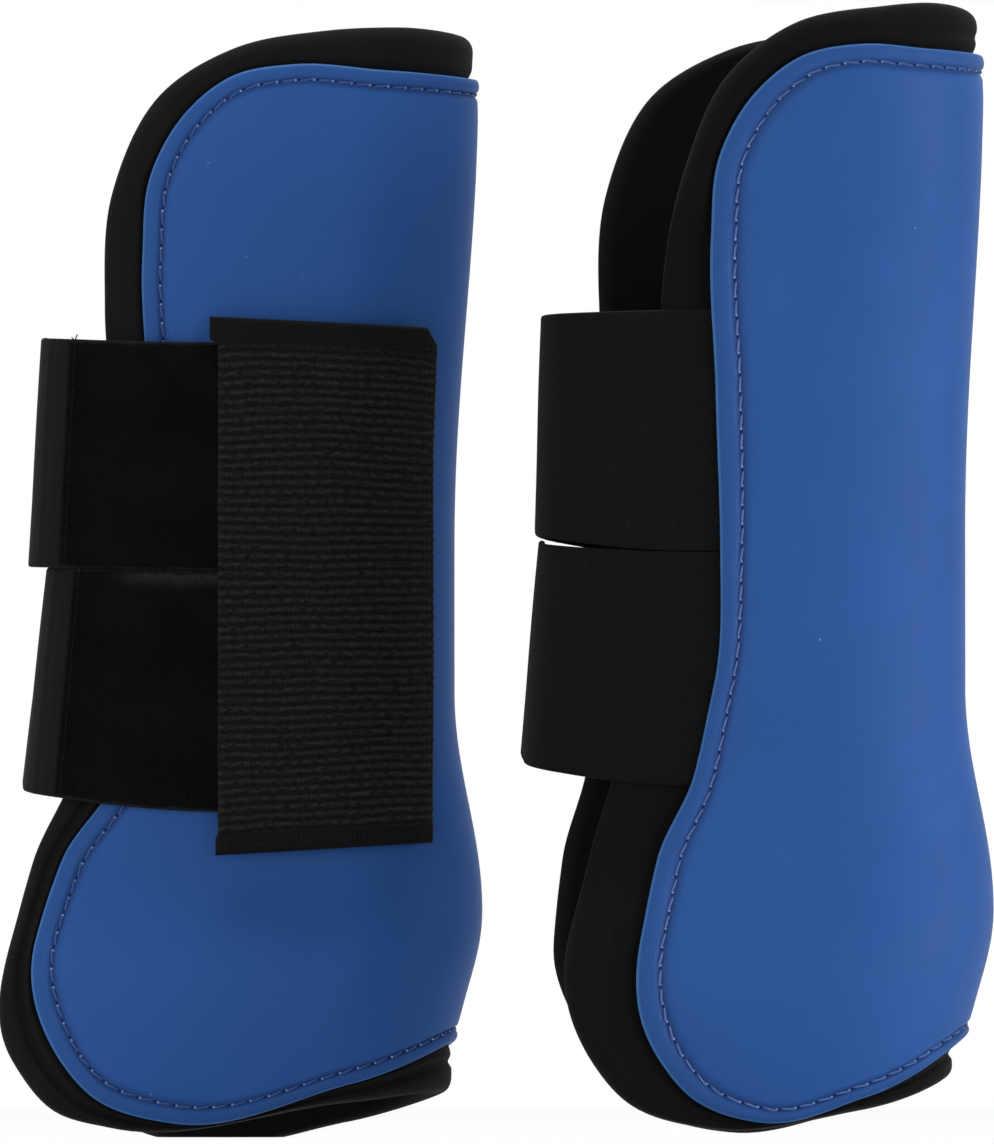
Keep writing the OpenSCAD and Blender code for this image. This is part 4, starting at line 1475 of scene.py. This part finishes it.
# %% [markdown]
# The tab lies on the outer flap like a patch, so it is drawn flat, as seen from the side, and then
# laid on the flap at its own height. It tapers a little, its hems are wider, one top corner is cut
# off, and the upper ribs arch.

# %% Outline of the tab
TAB_H = SHELL_H + STRAP_GAP + STRAP_T + PILE_T
TAB_T = 1.8
TAB_LEFT, TAB_RIGHT = -59.5, -5.6
TAB_LOW, TAB_TOP = 70.8, 205.6
HEM_TOP, HEM_LOW = 6.2, 4.2
# How far the upper and the lower hem stand out in front, and over how far they do so
HEM_OUT, FOOT_OUT, HEM_STEP = 2.1, 0.6, 1.2
# The back edge: how far it stands in below, how much it gains above, from which height over the
# foot, and over how far
BACK_LOW, BACK_MORE, BACK_Z, BACK_RUN = 0.4, 0.8, 98, 30
# The cut corner: how deep, from which height over the foot, and over how far
CORNER_IN, CORNER_Z, CORNER_RUN = 2.4, 130, 5
# How far the foot rises and the top falls towards the back, and the arch of the upper ribs
FOOT_RISE, TOP_LIFT, TOP_FALL = 3.2, 0.4, 2.6
ARCH, ARCH_Z, ARCH_RUN = 1.3, 70, 50


def on_flap(side, x, z, h):
    """The point of the outer flap seen at x and z, at height h."""
    return wrap(side, girth(side, x, z, TAB_H), z, h)


def tab_place(a, b):
    """Tab at a across and b up, both 0 to 1: slightly tapered, hems wider, top corner cut."""
    width = TAB_RIGHT - TAB_LEFT
    up = b * (TAB_TOP - TAB_LOW)
    hem = rise((up - (TAB_TOP - TAB_LOW) + HEM_TOP + HEM_STEP / 2) / HEM_STEP)
    foot = 1 - rise((up - HEM_LOW) / HEM_STEP)
    left = TAB_LEFT - HEM_OUT * hem - FOOT_OUT * foot
    right = TAB_RIGHT - BACK_LOW + BACK_MORE * rise((up - BACK_Z) / BACK_RUN)
    right = right - CORNER_IN * np.clip((up - CORNER_Z) / CORNER_RUN, 0, 1)
    x = left + a * (right - left)
    across = (x - TAB_LEFT) / width
    low = TAB_LOW + FOOT_RISE * across
    high = TAB_TOP + TOP_LIFT - TOP_FALL * across
    z = low + b * (high - low)
    arch = ARCH * (1 - (2 * across - 1) ** 2) * rise((up - ARCH_Z) / ARCH_RUN) * (1 - hem)
    return x, z + arch


print("tab", round(TAB_RIGHT - TAB_LEFT, 1), "by", round(TAB_TOP - TAB_LOW, 1), "mm")

# %% [markdown]
# The ribs are a wave of the height over the flap, sharp at its crests. It wanders slowly, and each
# rib is broken up by two faster waves along it, because woven ribs are never quite even.

# %% Ribbed tabs
RIB, RIB_RISE, RIB_SHARP = 2.27, 0.42, 1.4
TAB_W, TAB_EDGE = 52, 0.8
TAB_FINE, TAB_EVEN, TAB_ROWS = 0.7, 44, 430
ENDS = np.array([0, 0.0006, 0.002, 0.005])
# Height and length of the ribs' wandering and of the tab's unevenness
WANDER, WANDER_SIZE = 0.35, 5.5
WARP, WARP_SIZE = 0.12, 12
HEM_RISE = 0.55


def make_tab(side):
    """The tab: ridges every rib along its height, flat hems, thickness fading at its edges."""
    height = TAB_TOP - TAB_LOW
    b = np.concatenate([ENDS, np.linspace(0.008, 0.992, TAB_ROWS), 1 - ENDS[::-1]])[None, :]
    a = edge_steps(TAB_W, TAB_FINE, TAB_EVEN)[:, None]
    up = b * height
    body = rise((up - HEM_LOW - 0.8) / 0.6) * rise((height - HEM_TOP - up) / 3.5)
    wander = WANDER * soft_wave(TAB_W * a, up, WANDER_SIZE, 1.7)
    ridge = (1 - np.abs(np.sin(np.pi * (up + wander) / RIB)) ** RIB_SHARP) * body
    phase = 40 * np.sin(12.9 * np.round((up + wander) / RIB))
    broken = 1 + 0.3 * np.sin(120 * a + phase) + 0.25 * np.sin(213 * a - 1.7 * phase)
    seams = 0.12 * hump((up - height + HEM_TOP) / 0.7) + 0.2 * hump((up - 2.0) / 0.5)
    hem = HEM_RISE * (1 - body) + seams
    rim = round_edge(a, TAB_W, TAB_EDGE) * round_edge(b, height, TAB_EDGE)
    uneven = WARP * soft_wave(TAB_W * a, up, WARP_SIZE, 0.6)
    relief = RIB_RISE * ridge * broken + hem + uneven
    out = TAB_H + 0.15 + (TAB_T - 0.3 + relief) * (0.1 + 0.9 * rim)
    x, z = tab_place(a, b)
    outer = on_flap(side, x, z, out)
    inner = on_flap(side, x, z, TAB_H + 0.06 + 0 * out)
    points, quads = slab(outer, inner)
    zone = np.tile((ridge * np.ones_like(out)).ravel(), 2)
    piece = make_piece(
        f"{side}_ribbed_tab", place(points, side), quads, [webbing],
        uv=cloth_uv(TAB_W * a, b, height), marks={"ridge": zone}, sharp=70,
    )
    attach(piece, f"{side}_strap_tab")
    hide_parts(f"{side}_closing_tab")
    return piece


for side in SIDES:
    print(make_tab(side).name, "with", round((TAB_TOP - TAB_LOW) / RIB), "ribs")

# %% [markdown]
# Behind the webbing lies a flat backing with the hook pad sewn to it, and on the shell the
# matching loop patch. They show when the tab is pulled open. Each is a thin pad that follows
# the flap, with rounded edges.

# %% Hook finish
HOOK_BLACK, HOOK_GREY = (0.006, 0.006, 0.006), (0.022, 0.022, 0.022)
hooks, shader = finish_of("moulded_hooks", Roughness=0.5, Specular_IOR_Level=0.4)
cloth = coordinates(hooks, True)
rows = math(hooks, "MULTIPLY", stripes(hooks, cloth, 60), stripes(hooks, cloth, 0, 60))
colour(hooks, shader, ramp(hooks, rows, -0.2, 0.9, HOOK_BLACK, HOOK_GREY))
bump(hooks, shader, rows, 0.0005)
print("made", hooks.name)

# %% [markdown]
# All three pads are the same function with other sizes: where the pad starts and ends across and
# up the flap, and between which heights over the lining it lies.

# %% Pads under the tab
LOOP_H, LOOP_T = SHELL_H + 0.4, 0.9
PAD_EDGE, PAD_GAP = 0.5, 0.04
PAD_COLUMNS, PAD_ROWS = 40, 80
HOOK_H = SHELL_H + STRAP_GAP
BACKING_H = (HOOK_H + TAB_H) / 2
PADS = {
    "tab_backing": ("lined_tab_back", "webbing", webbing, -46, -6.4, 74.5, 202.4, BACKING_H, TAB_H),
    "hook_pad": ("hook_panel", "hook", hooks, -46, -7.8, 76.5, 200.8, HOOK_H, BACKING_H),
    "loop_patch": ("loop_panel", "loop", pile, -58, -7.8, 76, 201.5, LOOP_H, LOOP_H + LOOP_T),
}


def make_pad(side, key):
    """A thin pad on the flap: flat below, soft above, its rim rounded off."""
    name, slot, material, x0, x1, z0, z1, h0, h1 = PADS[key]
    a = edge_steps(x1 - x0, PAD_EDGE, PAD_COLUMNS)[:, None]
    b = edge_steps(z1 - z0, PAD_EDGE, PAD_ROWS)[None, :]
    x, z = x0 + a * (x1 - x0), z0 + b * (z1 - z0)
    rim = round_edge(a, x1 - x0, PAD_EDGE) * round_edge(b, z1 - z0, PAD_EDGE)
    mid, half = (h0 + h1) / 2, (h1 - h0) / 2 - PAD_GAP
    half = half * (0.2 + 0.8 * rim)
    points, quads = slab(on_flap(side, x, z, mid + half), on_flap(side, x, z, mid - half))
    piece = make_piece(
        f"{side}_{name}", place(points, side), quads, [material],
        uv=cloth_uv(x, z, 1), marks={"ridge": np.full(len(points), 0.4)}, sharp=60,
    )
    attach(piece, "boot_pair" if key == "loop_patch" else f"{side}_strap_tab")
    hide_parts(f"{side}_{key}")


for side in SIDES:
    for key in PADS:
        make_pad(side, key)
print("pads", len(PADS) * len(SIDES))

# %% [markdown]
# ## Floor and light
# The floor and the background are white to the camera, while the floor still takes the boots'
# shadow. A brighter lamp could make them white too, but it would bleach the boots. So rays from
# the camera, and those that a mirror or glass would show, see plain white instead.

# %% Floor
FLOOR = 6.0
FLOOR_GLOW = 0.96
floor_mesh = bpy.data.meshes.new("floor")
corners = [(-FLOOR, -FLOOR, 0), (FLOOR, -FLOOR, 0), (FLOOR, FLOOR, 0), (-FLOOR, FLOOR, 0)]
floor_mesh.from_pydata(corners, [], [(0, 1, 2, 3)])
floor = bpy.data.objects.new("floor", floor_mesh)
bpy.context.collection.objects.link(floor)
pale, shader = finish_of(
    "pale_floor", Base_Color=(0.92, 0.92, 0.92, 1), Roughness=0.9, Specular_IOR_Level=0
)


def seen(tree):
    """1 for rays that show a picture of the surroundings: camera, mirror and glass rays."""
    path = tree.nodes.new("ShaderNodeLightPath")
    total = path.outputs["Is Camera Ray"]
    for name in ("Is Glossy Ray", "Is Transmission Ray"):
        add = tree.nodes.new("ShaderNodeMath")
        add.operation = "MAXIMUM"
        tree.links.new(total, add.inputs[0])
        tree.links.new(path.outputs[name], add.inputs[1])
        total = add.outputs[0]
    return total


glow = node(pale, "Emission", Strength=1.0)
share = math(pale, "MULTIPLY", seen(pale.node_tree), FLOOR_GLOW)
mixed = node(pale, "MixShader", {0: share, 1: shader.outputs[0], 2: glow.outputs[0]})
surface = pale.node_tree.nodes["Material Output"].inputs["Surface"]
pale.node_tree.links.new(mixed.outputs[0], surface)
floor_mesh.materials.append(pale)
print("floor", 2 * FLOOR, "m wide")

# %% [markdown]
# The world gives a low, even light, which is also the colour of the shadows. It uses the same
# trick as the floor, so that the background stays white.

# %% World light
WORLD_LIGHT = 0.24
world = bpy.data.worlds.new("studio")
bpy.context.scene.world = world
world.use_nodes = True
sky = world.node_tree.nodes["Background"]
level = world.node_tree.nodes.new("ShaderNodeMapRange")
level.inputs["To Min"].default_value = WORLD_LIGHT
level.inputs["To Max"].default_value = 1.0
world.node_tree.links.new(seen(world.node_tree), level.inputs["Value"])
world.node_tree.links.new(level.outputs[0], sky.inputs["Strength"])
sky.inputs["Color"].default_value = (1, 1, 1, 1)
print("world light", WORLD_LIGHT)

# %% [markdown]
# Two broad soft boxes light the pair from both sides, with a weak one in front and one above. The
# right boot stands before the right box, so the left boot falls off towards its back. A narrow
# strip behind a grid lights only the right boot's back, which is brightest there.

# %% Lamps
MIDDLE = (0, 0, 0.14)
RIGHT_BACK = (0.10, -0.085, 0.14)
# Place and aim in metres, width and height in metres, power in watts, spread in degrees
LAMPS = {
    "right_box": ((1.80, -1.70, 0.30), MIDDLE, 1.6, 1.6, 42, 180),
    "left_box": ((-2.0, -1.2, 0.25), MIDDLE, 1.4, 1.4, 24, 180),
    "front": ((-0.8, -2.45, 0.05), MIDDLE, 1.3, 1.3, 19, 180),
    "top": ((0.0, 0.1, 2.2), MIDDLE, 1.2, 1.2, 34, 180),
    "strip": ((1.05, -0.30, 0.25), RIGHT_BACK, 0.08, 0.5, 0.08, 9),
}
for name, (spot, aim, width, height, power, spread) in LAMPS.items():
    lamp = bpy.data.lights.new(name, "AREA")
    lamp.shape = "RECTANGLE"
    lamp.size = width
    lamp.size_y = height
    lamp.spread = np.radians(spread)
    lamp.energy = power
    light = bpy.data.objects.new(name, lamp)
    light.location = spot
    light.rotation_euler = (Vector(aim) - Vector(spot)).to_track_quat("-Z", "Y").to_euler()
    bpy.context.collection.objects.link(light)
bpy.context.scene.view_settings.view_transform = "Standard"
print("lamps", list(LAMPS))
